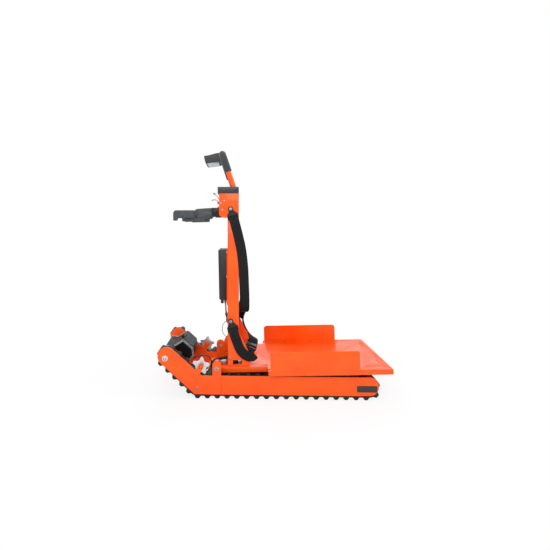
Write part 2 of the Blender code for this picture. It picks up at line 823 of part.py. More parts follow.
def belt(bm, low, high):
    pitches = belt_pitches()
    sides = []
    faces = []
    for y in (low, high):
        level = []
        for inner, outer, _ in pitches:
            level.append((ring_of(bm, [(p.x, y, p.y) for p in inner]),
                          ring_of(bm, [(p.x, y, p.y) for p in outer])))
        sides.append(level)
        for k in range(LUG_COUNT):
            inner, outer = level[k]
            next_inner, next_outer = level[(k + 1) % LUG_COUNT]
            last = len(inner) - 1 - pitches[k][2]
            faces.append(bm.faces.new(inner[:last + 1] + outer[:4][::-1]))
            faces.append(bm.faces.new(inner[last:] + [next_inner[0], next_outer[0]]
                                      + outer[3:][::-1]))
    for part in (0, 1):
        low_loop = [v for entry in sides[0] for v in entry[part]]
        high_loop = [v for entry in sides[1] for v in entry[part]]
        faces += bridge(bm, low_loop, high_loop)
    finish(bm, faces)


for name, side in SIDES:
    bm = bmesh.new()
    belt(bm, *span(side, BELT_LOW, BELT_HIGH))
    piece(name + "_track_belt", bm, "track_rubber")


# Motor and gearbox, with end covers, cover bolts and the gland of the cable

bm = bmesh.new()
motor_outline = rounded(MOTOR_OUTLINE, [0.002, 0.004, 0.004, 0.006, 0.008, 0.008, 0.002], 3)
extrude(bm, motor_outline, -MOTOR_HALF, MOTOR_HALF, incline_view)
motor = piece("motor_housing", bm, "motor_black")
bm = bmesh.new()
motor_cover = rounded(MOTOR_COVER, [0.002, 0.004, 0.004, 0.006, 0.008, 0.008, 0.002], 3)
for side in (-1, 1):
    cover_face = MOTOR_HALF + 0.006
    extrude(bm, motor_cover, *span(side, MOTOR_HALF - SINK, cover_face), incline_view)
    for u, v in ((0.030, 0.070), (0.078, 0.070), (0.100, 0.045), (0.014, 0.035)):
        x, _, z = incline_view(u, v, 0)
        screw_head(bm, x, z, cover_face, side, 0.0042, sides=6)
gland = Vector(incline_view(0.0165, 0.078, -0.03))
gland_out = Vector(incline_view(0.0165 - 0.96, 0.078 + 0.2835, -0.03)) - gland
turned(bm, [(0, -0.002), (0.010, -0.002), (0.010, 0.004), (0.008, 0.0042), (0.008, 0.011),
            (0.0055, 0.013), (0, 0.013)], gland, gland_out, 12)
weld(motor, bm)
bm = bmesh.new()
extrude(bm, circle(NOSE_X, NOSE_Z, SHAFT_RADIUS + 2 * FIT), -0.12, 0.12)
cut(motor, bm)

# Cooling block: a base with ribs that run along the incline
rib_step = 2 * RIB_HALF / RIB_COUNT
rib_low = MOTOR_TOP + FIT
section = [(-RIB_HALF, rib_low), (RIB_HALF, rib_low), (RIB_HALF, rib_low + RIB_BASE)]
for k in range(RIB_COUNT - 1, -1, -1):
    middle = -RIB_HALF + (k + 0.5) * rib_step
    section += [(middle + rib_step * 0.28, rib_low + RIB_BASE),
                (middle + rib_step * 0.22, rib_low + RIB_HEIGHT),
                (middle - rib_step * 0.22, rib_low + RIB_HEIGHT),
                (middle - rib_step * 0.28, rib_low + RIB_BASE)]
section.append((-RIB_HALF, rib_low + RIB_BASE))


def rib_view(u, v, w):
    return incline_view(w, v, u)


bm = bmesh.new()
extrude(bm, section, 0.026, 0.084, rib_view)
piece("motor_cooling_block", bm, "cast_grey")

# Motor cable, down to the cross channel
bm = bmesh.new()
cable_y = -0.085
cable_start = Vector(incline_view(MOTOR_SIDE + FIT, 0.048, cable_y))
cable_out = Vector(incline_view(MOTOR_SIDE + 0.008, 0.048, cable_y))
route = cable_path(cable_start,
                   [cable_out, (-0.380, cable_y, 0.1620), (-0.345, cable_y - 0.002, 0.1680),
                    (-0.319, cable_y - 0.004, 0.150), (-0.315, cable_y - 0.004, 0.120),
                    (-0.316, cable_y - 0.004, 0.096)],
                   (-0.316, cable_y - 0.004, 0.0885))
tube(bm, route, 0.003, (0, 1, 0), 6)
piece("motor_cable", bm, "black_plastic", smooth=True)


# Lifting actuator: the barrel with its tongue on the trunnion pin, and the rod with its eye

bm = bmesh.new()
barrel_length = BARREL_END - BARREL_START
profile = [(0, barrel_length + 0.0135), (0.014, barrel_length + 0.0135),
           (0.0165, barrel_length + 0.0110), (0.0165, barrel_length), (BARREL_RADIUS, barrel_length),
           (BARREL_RADIUS, 0.002), (BARREL_RADIUS - 0.002, 0), (ROD_RADIUS + FIT, 0),
           (ROD_RADIUS + FIT, 0.058), (0, 0.058)]
turned(bm, profile, (BARREL_START, 0, EYE_Z), (1, 0, 0), 16)
barrel = piece("actuator_barrel", bm, "black_steel", smooth=True)
bm = bmesh.new()
tongue = rectangle(BARREL_END + 0.010, TRUNNION_PIN + 0.0075, EYE_Z - 0.0065, EYE_Z + 0.0065)
extrude(bm, rounded(tongue, [0, 0.003, 0.003, 0]), -0.006, 0.006)
weld(barrel, bm)
bm = bmesh.new()
extrude(bm, circle(TRUNNION_PIN, EYE_Z, 0.0038, 12), -0.02, 0.02)
cut(barrel, bm)

bm = bmesh.new()
eye_hole = circle(EYE_X, EYE_Z, EYE_HOLE)
extrude(bm, circle(EYE_X, EYE_Z, EYE_RADIUS), -0.0055, 0.0055, hole=eye_hole)
actuator_rod = piece("actuator_rod", bm, "bright_steel", (EYE_X, 0, EYE_Z), smooth=True)
bm = bmesh.new()
rod(bm, (EYE_X + 0.010, 0, EYE_Z), (BARREL_START + 0.026, 0, EYE_Z), ROD_RADIUS, 16)
weld(actuator_rod, bm)


# Drive axle and wheels

bm = bmesh.new()
shaft_half = TRACK_OUTER + FIT
rod(bm, (NOSE_X, -shaft_half, NOSE_Z), (NOSE_X, shaft_half, NOSE_Z), SHAFT_RADIUS, 16)
shaft = piece("drive_shaft", bm, "bright_steel", (NOSE_X, 0, NOSE_Z), smooth=True)
bm = bmesh.new()
for side in (-1, 1):
    thick = 0.0015
    turned(bm, [(0, -SINK), (SHAFT_RADIUS - 0.001, -SINK), (SHAFT_RADIUS - 0.001, FIT), (0.0150, FIT),
                (0.0150, thick), (0.0095, thick), (0.0095, 0.006), (0.0075, 0.0075), (0, 0.0075)],
           (NOSE_X, side * shaft_half, NOSE_Z), (0, side, 0), 16)
weld(shaft, bm)


def toothed_outline(x, z, grooves, tip, root):
    points = []
    for k in range(grooves):
        for share, radius in ((0.05, tip), (0.45, tip), (0.55, root), (0.95, root)):
            angle = 2 * math.pi * (k + share) / grooves
            points.append((x + radius * math.cos(angle), z + radius * math.sin(angle)))
    return points


wheel_low = TRACK_MIDDLE - WHEEL_WIDTH / 2
wheel_high = TRACK_MIDDLE + WHEEL_WIDTH / 2
for name, side in SIDES:
    bm = bmesh.new()
    outline = toothed_outline(NOSE_X, NOSE_Z, WHEEL_GROOVES, NOSE_WHEEL_RADIUS,
                              NOSE_WHEEL_RADIUS - 0.004)
    extrude(bm, outline, *span(side, wheel_low, wheel_high))
    drive_wheel = piece(name + "_drive_wheel", bm, "black_plastic", (NOSE_X, 0, NOSE_Z))
    cut(drive_wheel, shaft_hole(-TRACK_OUTER, TRACK_OUTER))
    for place_name, x in (("rear", REAR_X), ("corner", CORNER_X)):
        low, high = span(side, wheel_low, wheel_high)
        bm = bmesh.new()
        rod(bm, (x, low, AXLE_Z), (x, high, AXLE_Z), WHEEL_RADIUS, 24, bore=PIN_RADIUS + FIT)
        piece(name + "_" + place_name + "_wheel", bm, "black_plastic", (x, 0, AXLE_Z), smooth=True)


def star_outline():
    """Round tooth tips and shallow valleys between them."""
    points = []
    for k in range(STAR_TEETH):
        for offset, share in ((-36, 0), (-21, 0.10), (-13, 0.62), (-5, 1), (5, 1), (13, 0.62),
                              (21, 0.10)):
            angle = math.radians(STAR_TURN + 360 * k / STAR_TEETH + offset)
            radius = STAR_ROOT + (STAR_TIP - STAR_ROOT) * share
            points.append((STAR_X + radius * math.cos(angle), STAR_Z + radius * math.sin(angle)))
    return points


for name, side in SIDES:
    if side < 0:
        face = -TRACK_OUTER + PLATE + STAR_GAP
    else:
        face = TRACK_INNER + PLATE + STAR_GAP
    bm = bmesh.new()
    extrude(bm, star_outline(), face, face + STAR_THICK)
    star = piece(name + "_star_wheel", bm, "bright_steel", (STAR_X, 0, STAR_Z))
    bm = bmesh.new()
    rod(bm, (STAR_X, face + STAR_THICK - SINK, STAR_Z), (STAR_X, face + STAR_HUB_LENGTH, STAR_Z),
        STAR_HUB, 12)
    weld(star, bm)
    bm = bmesh.new()
    extrude(bm, circle(STAR_X, STAR_Z, STAR_PIN + FIT, 12), -0.3, 0.3)
    cut(star, bm)


# Deck frame: two rails with pivot ears and two ties between them

under_sheet = DECK_TOP - DECK_SHEET - FIT
ear_end = math.degrees(math.asin(DECK_TOP / EAR_RADIUS))
# The lower corner is cut back, so that it clears the track when the deck tilts
rail = [(RAIL_END, RAIL_BOTTOM)]
rail += fillet((RAIL_END, RAIL_BOTTOM), (0.016, RAIL_BOTTOM), (-0.020, -0.018), 0.008, 3)
rail += fillet((0.016, RAIL_BOTTOM), (-0.020, -0.018), (-0.020, 0), 0.006, 3)
rail += arc(0, 0, EAR_RADIUS, 190, ear_end, 16)
rail += [(DECK_WIDE - FIT, DECK_TOP), (DECK_WIDE - FIT, under_sheet), (RAIL_END, under_sheet)]
rail = [(point[0], point[1]) for point in rail]
bm = bmesh.new()
for side in (-1, 1):
    extrude(bm, rail, *span(side, RAIL_INNER, RAIL_OUTER), deck_view)
rails = piece("deck_frame", bm, "orange_paint", PIVOT)
bm = bmesh.new()
for start in DECK_TIES:
    tie = rectangle(start, start + TIE_WIDTH, RAIL_BOTTOM + 0.0005, under_sheet - 0.0005)
    extrude(bm, tie, -RAIL_INNER - SINK, RAIL_INNER + SINK, deck_view)
weld(rails, bm)
bm = bmesh.new()
extrude(bm, circle(PIVOT_X, PIVOT_Z, PIN_RADIUS + FIT), -0.3, 0.3)
cut(rails, bm)

# Folded deck sheet with its skirts, fixing holes and slots
narrow_half = RAIL_INNER - FIT


def tee(start, neck, end, narrow, wide):
    """A narrow strip that runs into a wide plate, seen from above."""
    return [(start, -narrow), (neck, -narrow), (neck, -wide), (end, -wide), (end, wide),
            (neck, wide), (neck, narrow), (start, narrow)]


bm = bmesh.new()
sheet_shape = tee(DECK_NARROW, DECK_WIDE, DECK_END, narrow_half, DECK_HALF)
extrude(bm, sheet_shape, SKIRT_BOTTOM, DECK_TOP, deck_top_view)
sheet = piece("deck_sheet", bm, "orange_paint", PIVOT)
bm = bmesh.new()
pocket = tee(DECK_NARROW - 0.01, DECK_WIDE + DECK_SHEET, DECK_END - DECK_SHEET,
             RAIL_OUTER + 0.003, DECK_HALF - DECK_SHEET)
extrude(bm, pocket, SKIRT_BOTTOM - 0.01, DECK_TOP - DECK_SHEET, deck_top_view)
cut(sheet, bm)
hole_low = DECK_TOP - DECK_SHEET - 0.004
hole_high = DECK_TOP + 0.004
bm = bmesh.new()
holes = []
for side in (-1, 1):
    for u in (0.290, 0.410, 0.550, 0.680):
        holes.append((u, side * 0.250, 0.0035))
for v in (-0.225, -0.075, 0.075, 0.225):
    holes.append((DECK_END - 0.025, v, 0.0040))
for v in (-0.225, 0.225):
    holes.append((DECK_END - 0.130, v, 0.0040))
for u, v, radius in holes:
    extrude(bm, circle(u, v, radius, 8), hole_low, hole_high, deck_top_view)
for v in (-0.150, 0.150):
    slot = stadium(DECK_END - 0.045, v - 0.006, DECK_END - 0.045, v + 0.006, 0.0045, 5)
    extrude(bm, slot, hole_low, hole_high, deck_top_view)
cut(sheet, bm)

# Side guards, bent up along the edges of the deck
for name, side in SIDES:
    outline = [(DECK_WIDE, SKIRT_BOTTOM), (GUARD_END, SKIRT_BOTTOM), (GUARD_END, GUARD_TOP),
               (GUARD_START, GUARD_TOP), (GUARD_START, DECK_TOP), (DECK_WIDE, DECK_TOP)]
    corner = GUARD_CORNERS[name]
    outline = rounded(outline, [0, 0, corner, corner, 0, 0], 5)
    bm = bmesh.new()
    start = DECK_HALF + FIT
    extrude(bm, outline, *span(side, start, start + DECK_SHEET), deck_view)
    piece(name + "_deck_guard", bm, "orange_paint", PIVOT)


# Mast frame: hollow uprights, legs, gussets on the rails, the crosspiece and the foot lever

def rail_height(x):
    """Height of the rail's top face under a point of the mast."""
    return PIVOT_Z + (x - PIVOT_X) * math.tan(TILT) + DECK_TOP / math.cos(TILT)


mast_x = (MAST_LEFT + MAST_RIGHT) / 2
mast_y = (MAST_INNER + MAST_OUTER) / 2
mast_half_x = (MAST_RIGHT - MAST_LEFT) / 2
mast_half_y = (MAST_OUTER - MAST_INNER) / 2
gusset_high = MAST_OUTER + GUSSET


def tube_section(side, inset, corner):
    section = rounded(rectangle(inset - mast_half_x, mast_half_x - inset,
                                inset - mast_half_y, mast_half_y - inset), corner, 3)
    return [(mast_x + x, side * mast_y + y) for x, y in section]


bm = bmesh.new()
for side in (-1, 1):
    inner = tube_section(side, MAST_WALL, 0.0015)
    extrude(bm, tube_section(side, 0, 0.004), MAST_BOTTOM, MAST_TOP, top_view, hole=inner)
mast = piece("mast_frame", bm, "orange_paint", PIVOT)
bm = bmesh.new()
for side in (-1, 1):
    low, high = span(side, MAST_OUTER - SINK, gusset_high)
    foot = [(x, rail_height(x) + FIT) for x in (-0.1990, -0.108)]
    outline = foot + [(-0.098, 0.185), (-0.166, 0.320), (-0.1990, 0.3040)]
    extrude(bm, rounded(outline, [0.002, 0.004, 0.008, 0.006, 0.003], 4), low, high)
    foot[0] = (MAST_LEFT, rail_height(MAST_LEFT) + FIT)
    low, high = span(side, RAIL_INNER, MAST_OUTER + SINK)
    flange = foot + [(x, z + GUSSET) for x, z in foot[::-1]]
    extrude(bm, flange, low, high)
    leg = [(MAST_LEFT + SINK, foot[0][1] + 0.001), (-0.199, foot[0][1] + 0.001),
           (-0.199, MAST_BOTTOM + 0.002), (MAST_LEFT + SINK, MAST_BOTTOM + 0.002)]
    extrude(bm, leg, *span(side, RAIL_INNER + SINK, MAST_OUTER - 0.001))
    screw_head(bm, -0.2100, 0.1900, MAST_OUTER, side, 0.0055)
    screw_head(bm, -0.1180, 0.1620, gusset_high, side, 0.0055)
lever_half = MAST_INNER + SINK
block(bm, -0.215, -0.175, -lever_half, lever_half, 0.200, 0.260)
lever = [(-0.2145, 0.206), (-0.2145, 0.252), (-0.240, 0.240), (EYE_X - 0.009, EYE_Z + 0.012),
         (EYE_X - 0.008, EYE_Z - 0.006), (EYE_X, EYE_Z - 0.0105), (EYE_X + 0.009, EYE_Z - 0.004)]
for side in (-1, 1):
    extrude(bm, lever, *span(side, 0.0100, 0.0150))
rod(bm, (EYE_X, -0.0120, EYE_Z), (EYE_X, 0.0120, EYE_Z), 0.0045, 12)
weld(mast, bm)
bm = bmesh.new()
for side in (-1, 1):
    window = rounded(rectangle(-0.1960, -0.150, 0.151, 0.1755), 0.002, 3)
    extrude(bm, window, *span(side, MAST_OUTER - 0.0008, gusset_high + 0.01))
cut(mast, bm)


# Battery and its tray

tray_front = MAST_LEFT - FIT
tray_back = tray_front - 0.0035
bm = bmesh.new()
tray = rectangle(-TRAY_HALF, TRAY_HALF, BATTERY_LOW - TRAY_MARGIN, BATTERY_HIGH + TRAY_MARGIN)
extrude(bm, rounded(tray, 0.010), tray_back, tray_front, front_view)
piece("battery_tray", bm, "orange_paint", PIVOT)
bm = bmesh.new()
case = [(BATTERY_BACK + BATTERY_TAPER, BATTERY_LOW), (tray_back - FIT, BATTERY_LOW),
        (tray_back - FIT, BATTERY_HIGH), (BATTERY_BACK, BATTERY_HIGH)]
extrude(bm, rounded(case, [0.008, 0.002, 0.002, 0.008]), -BATTERY_HALF, BATTERY_HALF)
piece("battery_case", bm, "black_plastic", PIVOT)


# Control box, with sleeves that guide the handlebar legs in the uprights, and its cap

box_bottom = MAST_TOP + FIT
box_outline = [(BOX_LEFT, box_bottom), (BOX_RIGHT, box_bottom), (BOX_RIGHT, BOX_TOP),
               (BOX_LEFT, BOX_TOP)]
bm = bmesh.new()
extrude(bm, rounded(box_outline, [0.016, 0.003, 0, 0], 5), -BOX_HALF, BOX_HALF)
box = piece("control_box", bm, "orange_paint", PIVOT)
bm = bmesh.new()
sleeve_inset = MAST_WALL + FIT
for side in (-1, 1):
    sleeve = tube_section(side, sleeve_inset, 0.001)
    extrude(bm, sleeve, MAST_TOP - 0.025, box_bottom + SINK, top_view)
    for x, z in ((-0.2505, 0.9490), (-0.2420, 0.9960), (-0.2600, 0.9830)):
        screw_head(bm, x, z, BOX_HALF, side, 0.0045)
weld(box, bm)
bm = bmesh.new()
pocket = [(BOX_LEFT + SHELL, box_bottom + SHELL), (BOX_RIGHT - SHELL, box_bottom + SHELL),
          (BOX_RIGHT - SHELL, BOX_TOP + 0.01), (BOX_LEFT + SHELL, BOX_TOP + 0.01)]
extrude(bm, rounded(pocket, [0.014, 0.001, 0, 0], 5), SHELL - BOX_HALF, BOX_HALF - SHELL)
cut(box, bm)
bm = bmesh.new()
for side in (-1, 1):
    leg_hole = circle(BAR_X, side * BAR_Y, BAR_RADIUS + 2 * FIT)
    extrude(bm, leg_hole, MAST_TOP - 0.03, box_bottom + 0.005, top_view)
extrude(bm, circle(STOP_Y, STOP_Z, 0.0083, 16), BOX_LEFT - 0.01, BOX_LEFT + 0.01, front_view)
cut(box, bm)

cap_bottom = BOX_TOP + FIT
bm = bmesh.new()
shape = rounded(rectangle(CAP_LEFT, CAP_RIGHT, -CAP_HALF, CAP_HALF), 0.006)
extrude(bm, shape, cap_bottom, CAP_TOP, top_view)
cap = piece("control_box_cap", bm, "black_plastic", PIVOT)
bm = bmesh.new()
shape = rectangle(CAP_LEFT + CAP_WALL, CAP_RIGHT - CAP_WALL, CAP_WALL - CAP_HALF, CAP_HALF - CAP_WALL)
extrude(bm, shape, cap_bottom - 0.01, CAP_TOP - CAP_WALL, top_view)
cut(cap, bm)
bm = bmesh.new()
for side in (-1, 1):
    leg_hole = circle(BAR_X, side * BAR_Y, BAR_RADIUS + 0.001)
    extrude(bm, leg_hole, CAP_TOP - 0.01, CAP_TOP + 0.01, top_view)
cut(cap, bm)


# Folding lower handles: a clevis on the box, the arm with its collar and core, the grip

back_x = BOX_LEFT - FIT
arm_middle = (ARM_TOP + ARM_LOW) / 2
grip_middle = (ARM_INNER + ARM_OUTER) / 2
hub_top = math.degrees(math.asin((ARM_TOP - FOLD_Z) / ARM_HUB))
under = FOLD_Z - ARM_UNDER_HINGE
arm_outline = [(ARM_END, ARM_LOW), (FOLD_X - 0.036, ARM_LOW), (FOLD_X - 0.028, under),
               (FOLD_X - 0.004, under)]
arm_outline += arc(FOLD_X, FOLD_Z, ARM_HUB, -80, 180 - hub_top, 16)
arm_outline += [(FOLD_X - 0.018, ARM_PEAK), (ARM_END, ARM_TOP)]
grip_start = ARM_END - 0.009 - FIT
grip_outline = [(grip_start, GRIP_LOW), (grip_start, GRIP_HIGH), (GRIP_END, GRIP_HIGH),
                (GRIP_END, GRIP_HOOK), (GRIP_END + 0.018, GRIP_HOOK), (GRIP_END + 0.022, GRIP_LOW)]
for name, side in SIDES:
    bm = bmesh.new()
    u_shape = [(back_x, CHEEK_LOW), (back_x, CHEEK_HIGH), (CLEVIS_X, CHEEK_HIGH),
               (CLEVIS_X, CHEEK_HIGH - CHEEK), (back_x - CHEEK, CHEEK_HIGH - CHEEK),
               (back_x - CHEEK, CHEEK_LOW + CHEEK), (CLEVIS_X, CHEEK_LOW + CHEEK),
               (CLEVIS_X, CHEEK_LOW)]
    u_shape = [(x, side * y) for x, y in u_shape]
    extrude(bm, u_shape, FOLD_Z - 0.0220, FOLD_Z + 0.0215, top_view)
    clevis = piece(name + "_handle_bracket", bm, "bright_steel", PIVOT)
    bm = bmesh.new()
    low, high = span(side, CHEEK_LOW + 0.001, CHEEK_HIGH - 0.001)
    rod(bm, (FOLD_X, low, FOLD_Z), (FOLD_X, high, FOLD_Z), 0.005, 12)
    screw_head(bm, FOLD_X, FOLD_Z, CHEEK_HIGH, side, 0.0070, 0.005, 12)
    screw_head(bm, FOLD_X, FOLD_Z, -CHEEK_LOW, -side, 0.0065, 0.004)
    weld(clevis, bm)
    hinge = (FOLD_X, 0, FOLD_Z)
    bm = bmesh.new()
    extrude(bm, arm_outline, *span(side, ARM_INNER, ARM_OUTER))
    arm = piece(name + "_lower_handle", bm, "black_plastic", hinge)
    bm = bmesh.new()
    profile = [(0, -0.002), (0.012, -0.002), (0.012, 0), (0.023, 0), (0.023, 0.009), (0.008, 0.009),
               (0.008, 0.085), (0, 0.085)]
    turned(bm, profile, (ARM_END, side * grip_middle, arm_middle), (-1, 0, 0), 16)
    weld(arm, bm)
    bm = bmesh.new()
    lock = [(ARM_END + 0.042, ARM_LOW + 0.002), (ARM_END + 0.040, ARM_LOW - 0.018),
            (ARM_END - 0.062, ARM_LOW - 0.021), (ARM_END - 0.066, ARM_LOW - 0.015),
            (ARM_END - 0.066, ARM_LOW - 0.0030), (ARM_END + 0.004, ARM_LOW - 0.0030),
            (ARM_END + 0.016, ARM_LOW + 0.002)]
    extrude(bm, lock, *span(side, grip_middle - 0.008, grip_middle + 0.008))
    weld(arm, bm)
    bm = bmesh.new()
    pin_hole = circle(FOLD_X, FOLD_Z, 0.005 + FIT, 16)
    extrude(bm, pin_hole, *span(side, ARM_INNER - 0.01, ARM_OUTER + 0.01))
    cut(arm, bm)
    bm = bmesh.new()
    outline = rounded(grip_outline, [0.004, 0.006, 0.016, 0.006, 0.006, 0.004], 4)
    extrude(bm, outline, *span(side, grip_middle - GRIP_WIDTH / 2, grip_middle + GRIP_WIDTH / 2))
    grip = piece(name + "_lower_grip", bm, "grip_rubber", hinge)
    bm = bmesh.new()
    rod(bm, (grip_start + 0.002, side * grip_middle, arm_middle),
        (grip_start - 0.078, side * grip_middle, arm_middle), 0.008 + FIT, 16)
    cut(grip, bm)


# Upper handlebar: two telescopic legs and a crossbar, bent from one tube

BAR_REFERENCE = (BAR_TOP_Z - BAR_BEND_Z, 0, BAR_X - BAR_TOP_X)
SLIDE_ORIGIN = (BAR_X, 0, BAR_BEND_Z)


def bar_corners(side):
    return [(BAR_X, side * BAR_Y, BAR_LEG_END), (BAR_X, side * BAR_Y, BAR_BEND_Z),
            (BAR_TOP_X, side * BAR_Y, BAR_TOP_Z)]


bm = bmesh.new()
bar_path = rounded_path(bar_corners(-1) + bar_corners(1)[::-1],
                        [0.020, BAR_CORNER, BAR_CORNER, 0.020], 4)
tube(bm, bar_path, BAR_RADIUS, BAR_REFERENCE, 10, bore=BAR_RADIUS - BAR_WALL)
piece("upper_handlebar", bm, "orange_paint", SLIDE_ORIGIN, smooth=True)

for name, side in SIDES:
    _, bend, corner = bar_corners(side)
    start = Vector(bend).lerp(Vector(corner), FOAM_SHARE)
    end = Vector((BAR_TOP_X, side * FOAM_END_Y, BAR_TOP_Z))
    bm = bmesh.new()
    tube(bm, rounded_path([start, corner, end], [BAR_CORNER], 4), FOAM_RADIUS, BAR_REFERENCE, 10,
         bore=BAR_RADIUS + 0.0005)
    piece(name + "_foam_grip", bm, "grip_rubber", SLIDE_ORIGIN, smooth=True)

# Palm block on the crossbar, with a pocket and a pin for the lever under it
PALM_PIN_X = BAR_TOP_X - 0.0255
PALM_PIN_Z = BAR_TOP_Z - 0.0250


def from_bar(points):
    """Points given from the middle of the crossbar."""
    return [(BAR_TOP_X + x, BAR_TOP_Z + z) for x, z in points]


palm = from_bar([(-0.1035, 0.0010), (-0.0795, 0.0045), (-0.0335, 0.0165)])
palm += arc(BAR_TOP_X, BAR_TOP_Z, FOAM_RADIUS, 100, -110, 10)
palm += from_bar([(-0.0165, -0.0300), (-0.0930, -0.0395)])
palm_radii = [0.006, 0.010, 0.010] + [0] * 12 + [0.005]
bm = bmesh.new()
extrude(bm, rounded(palm, palm_radii, 3), -PALM_HALF, PALM_HALF)
palm_grip = piece("palm_grip", bm, "black_plastic", SLIDE_ORIGIN)
bm = bmesh.new()
extrude(bm, circle(BAR_TOP_X, BAR_TOP_Z, BAR_RADIUS + FIT, 24), -0.1, 0.1)
cut(palm_grip, bm)
bm = bmesh.new()
pocket_half = PALM_HALF - 0.0035
pocket = from_bar([(-0.0890, -0.0580), (-0.0185, -0.0480), (-0.0185, -0.0160), (-0.0890, -0.0270)])
extrude(bm, pocket, -pocket_half, pocket_half)
cut(palm_grip, bm)
bm = bmesh.new()
rod(bm, (PALM_PIN_X, -pocket_half - 0.001, PALM_PIN_Z), (PALM_PIN_X, pocket_half + 0.001, PALM_PIN_Z),
    0.0020, 8)
weld(palm_grip, bm)

bm = bmesh.new()
lever = from_bar([(-0.0855, -0.0410), (-0.0230, -0.0330), (-0.0205, -0.0240), (-0.0265, -0.0190),
                  (-0.0320, -0.0205), (-0.0855, -0.0350)])
extrude(bm, rounded(lever, [0.0025, 0.003, 0.002, 0.002, 0.002, 0.0025], 3), -0.075, 0.075)
palm_lever = piece("palm_lever", bm, "bright_steel", (PALM_PIN_X, 0, PALM_PIN_Z))
bm = bmesh.new()
extrude(bm, circle(PALM_PIN_X, PALM_PIN_Z, 0.0023, 8), -0.1, 0.1)
cut(palm_lever, bm)


# Controls on the operator's face of the box

bm = bmesh.new()
stick_root = Vector((STICK_X, STICK_Y, STICK_Z))
stick = Vector((-0.3026, STICK_Y, 1.0445)) - stick_root
reach = stick.length
profile = [(0, -0.007), (0.005, -0.005), (0.007, 0), (0.005, 0.005), (0.0022, 0.008),
           (0.0022, reach - 0.006), (0.0052, reach - 0.003), (0.006, reach),
           (0.0052, reach + 0.003), (0.003, reach + 0.0052), (0, reach + 0.006)]
turned(bm, profile, stick_root, stick, 12)
piece("joystick", bm, "black_plastic", stick_root, smooth=True)

red_path = [(RED_X, RED_Y, RED_Z), (RED_X - 0.010, RED_Y, RED_Z + 0.012),
            (RED_X - 0.022, RED_Y, RED_Z + 0.017), (-0.3133, RED_Y, 1.0050)]
bm = bmesh.new()
strap(bm, [(point, (0, 1, 0)) for point in red_path], 0.012, 0.004)
red_lever = piece("red_lever", bm, "red_plastic", (RED_X, RED_Y, RED_Z))
bm = bmesh.new()
rod(bm, (RED_X, RED_Y - 0.008, RED_Z), (RED_X, RED_Y + 0.008, RED_Z), 0.0075, 12)
weld(red_lever, bm)

bm = bmesh.new()
profile = [(0, 0), (0.008, 0), (0.008, 0.0165), (0.0135, 0.0170), (0.015, 0.0185),
           (0.015, 0.0225), (0.012, 0.0248), (0, 0.0254)]
turned(bm, profile, (-0.257, STOP_Y, STOP_Z), (-1, 0, 0), 20)
piece("emergency_stop", bm, "red_plastic", (BOX_LEFT, STOP_Y, STOP_Z), smooth=True)


# Belt end fittings: a plate with a bolt at the top and a slot for the webbing

upper_face = BOX_HALF + FIT
lower_face = gusset_high + FIT


def fitting_view(anchor, lean):
    """Along the belt from the bolt, and across it."""
    def place(u, v, w):
        x = anchor[0] + u * math.cos(lean) - v * math.sin(lean)
        z = anchor[1] + u * math.sin(lean) + v * math.cos(lean)
        return x, w, z
    return place


FITTINGS = {
    "near_upper": (-1, UPPER_BOLT, UPPER_LEAN, upper_face),
    "far_upper": (1, UPPER_BOLT, UPPER_LEAN, upper_face),
    "near_lower": (-1, LOWER_BOLT, NEAR_LOWER_LEAN, lower_face),
    "far_lower": (1, LOWER_BOLT, FAR_LOWER_LEAN, lower_face),
}
for name, (side, anchor, lean, face) in FITTINGS.items():
    view = fitting_view(anchor, math.radians(lean))
    bm = bmesh.new()
    outline = rounded(FITTING_SHAPE, [0.011, 0.004, 0.004, 0.003, 0.003, 0.004, 0.004, 0.011], 3)
    extrude(bm, outline, *span(side, face, face + FITTING_THICK), view)
    fitting = piece(name + "_belt_fitting", bm, "black_steel", PIVOT)
    bm = bmesh.new()
    screw_head(bm, anchor[0], anchor[1], face + FITTING_THICK, side, 0.0078, 0.005, 12)
    if "lower" in name:
        low, high = span(side, MAST_OUTER + FIT, face + SINK)
        rod(bm, (anchor[0], low, anchor[1]), (anchor[0], high, anchor[1]), 0.006, 12)
    weld(fitting, bm)
    bm = bmesh.new()
    slot = rectangle(SLOT_START, SLOT_END, -0.0262, 0.0262)
    extrude(bm, slot, *span(side, face - 0.001, face + FITTING_THICK + 0.001), view)
    cut(fitting, bm)


def strap_start(name):
    """The webbing comes out of the slot and over the fitting's lower bar."""
    side, anchor, lean, face = FITTINGS[name]
    lean = math.radians(lean)
    place = fitting_view(anchor, lean)
    across = (-math.sin(lean), 0, math.cos(lean))
    top = face + FITTING_THICK
    half = WEBBING_THICK / 2
    heights = [(SLOT_START + 0.0015, face + half + 0.0008), (SLOT_START + 0.0040, face + half + 0.0016),
               (SLOT_END + 0.0005, top + half + 0.0012), (SLOT_END + 0.010, top + half + 0.0005),
               (SLOT_END + 0.022, top + half + 0.0003)]
    return [(place(u, 0, side * height), across) for u, height in heights]


UPPER_STATIONS = ((-0.1700, 0.1925, 0.820), (-0.1530, 0.1900, 0.742), (-0.1425, 0.1870, 0.650),
                  (-0.1385, 0.1826, 0.560), (-0.1360, 0.1730, 0.485), (-0.1365, 0.1500, 0.430),
                  (-0.1440, 0.1050, 0.408), (-0.1470, 0.0500, 0.402))


def upper_side(name):
    side = FITTINGS[name][0]
    return strap_start(name) + [((x, side * y, z), (1, 0, 0)) for x, y, z in UPPER_STATIONS]


bm = bmesh.new()
strap(bm, upper_side("near_upper") + upper_side("far_upper")[::-1], WEBBING, WEBBING_THICK, 2)
piece("upper_belt", bm, "webbing", PIVOT, smooth=True)


# Ratchet of the lower belt: cheeks and bars, with the handle that turns on the spindle

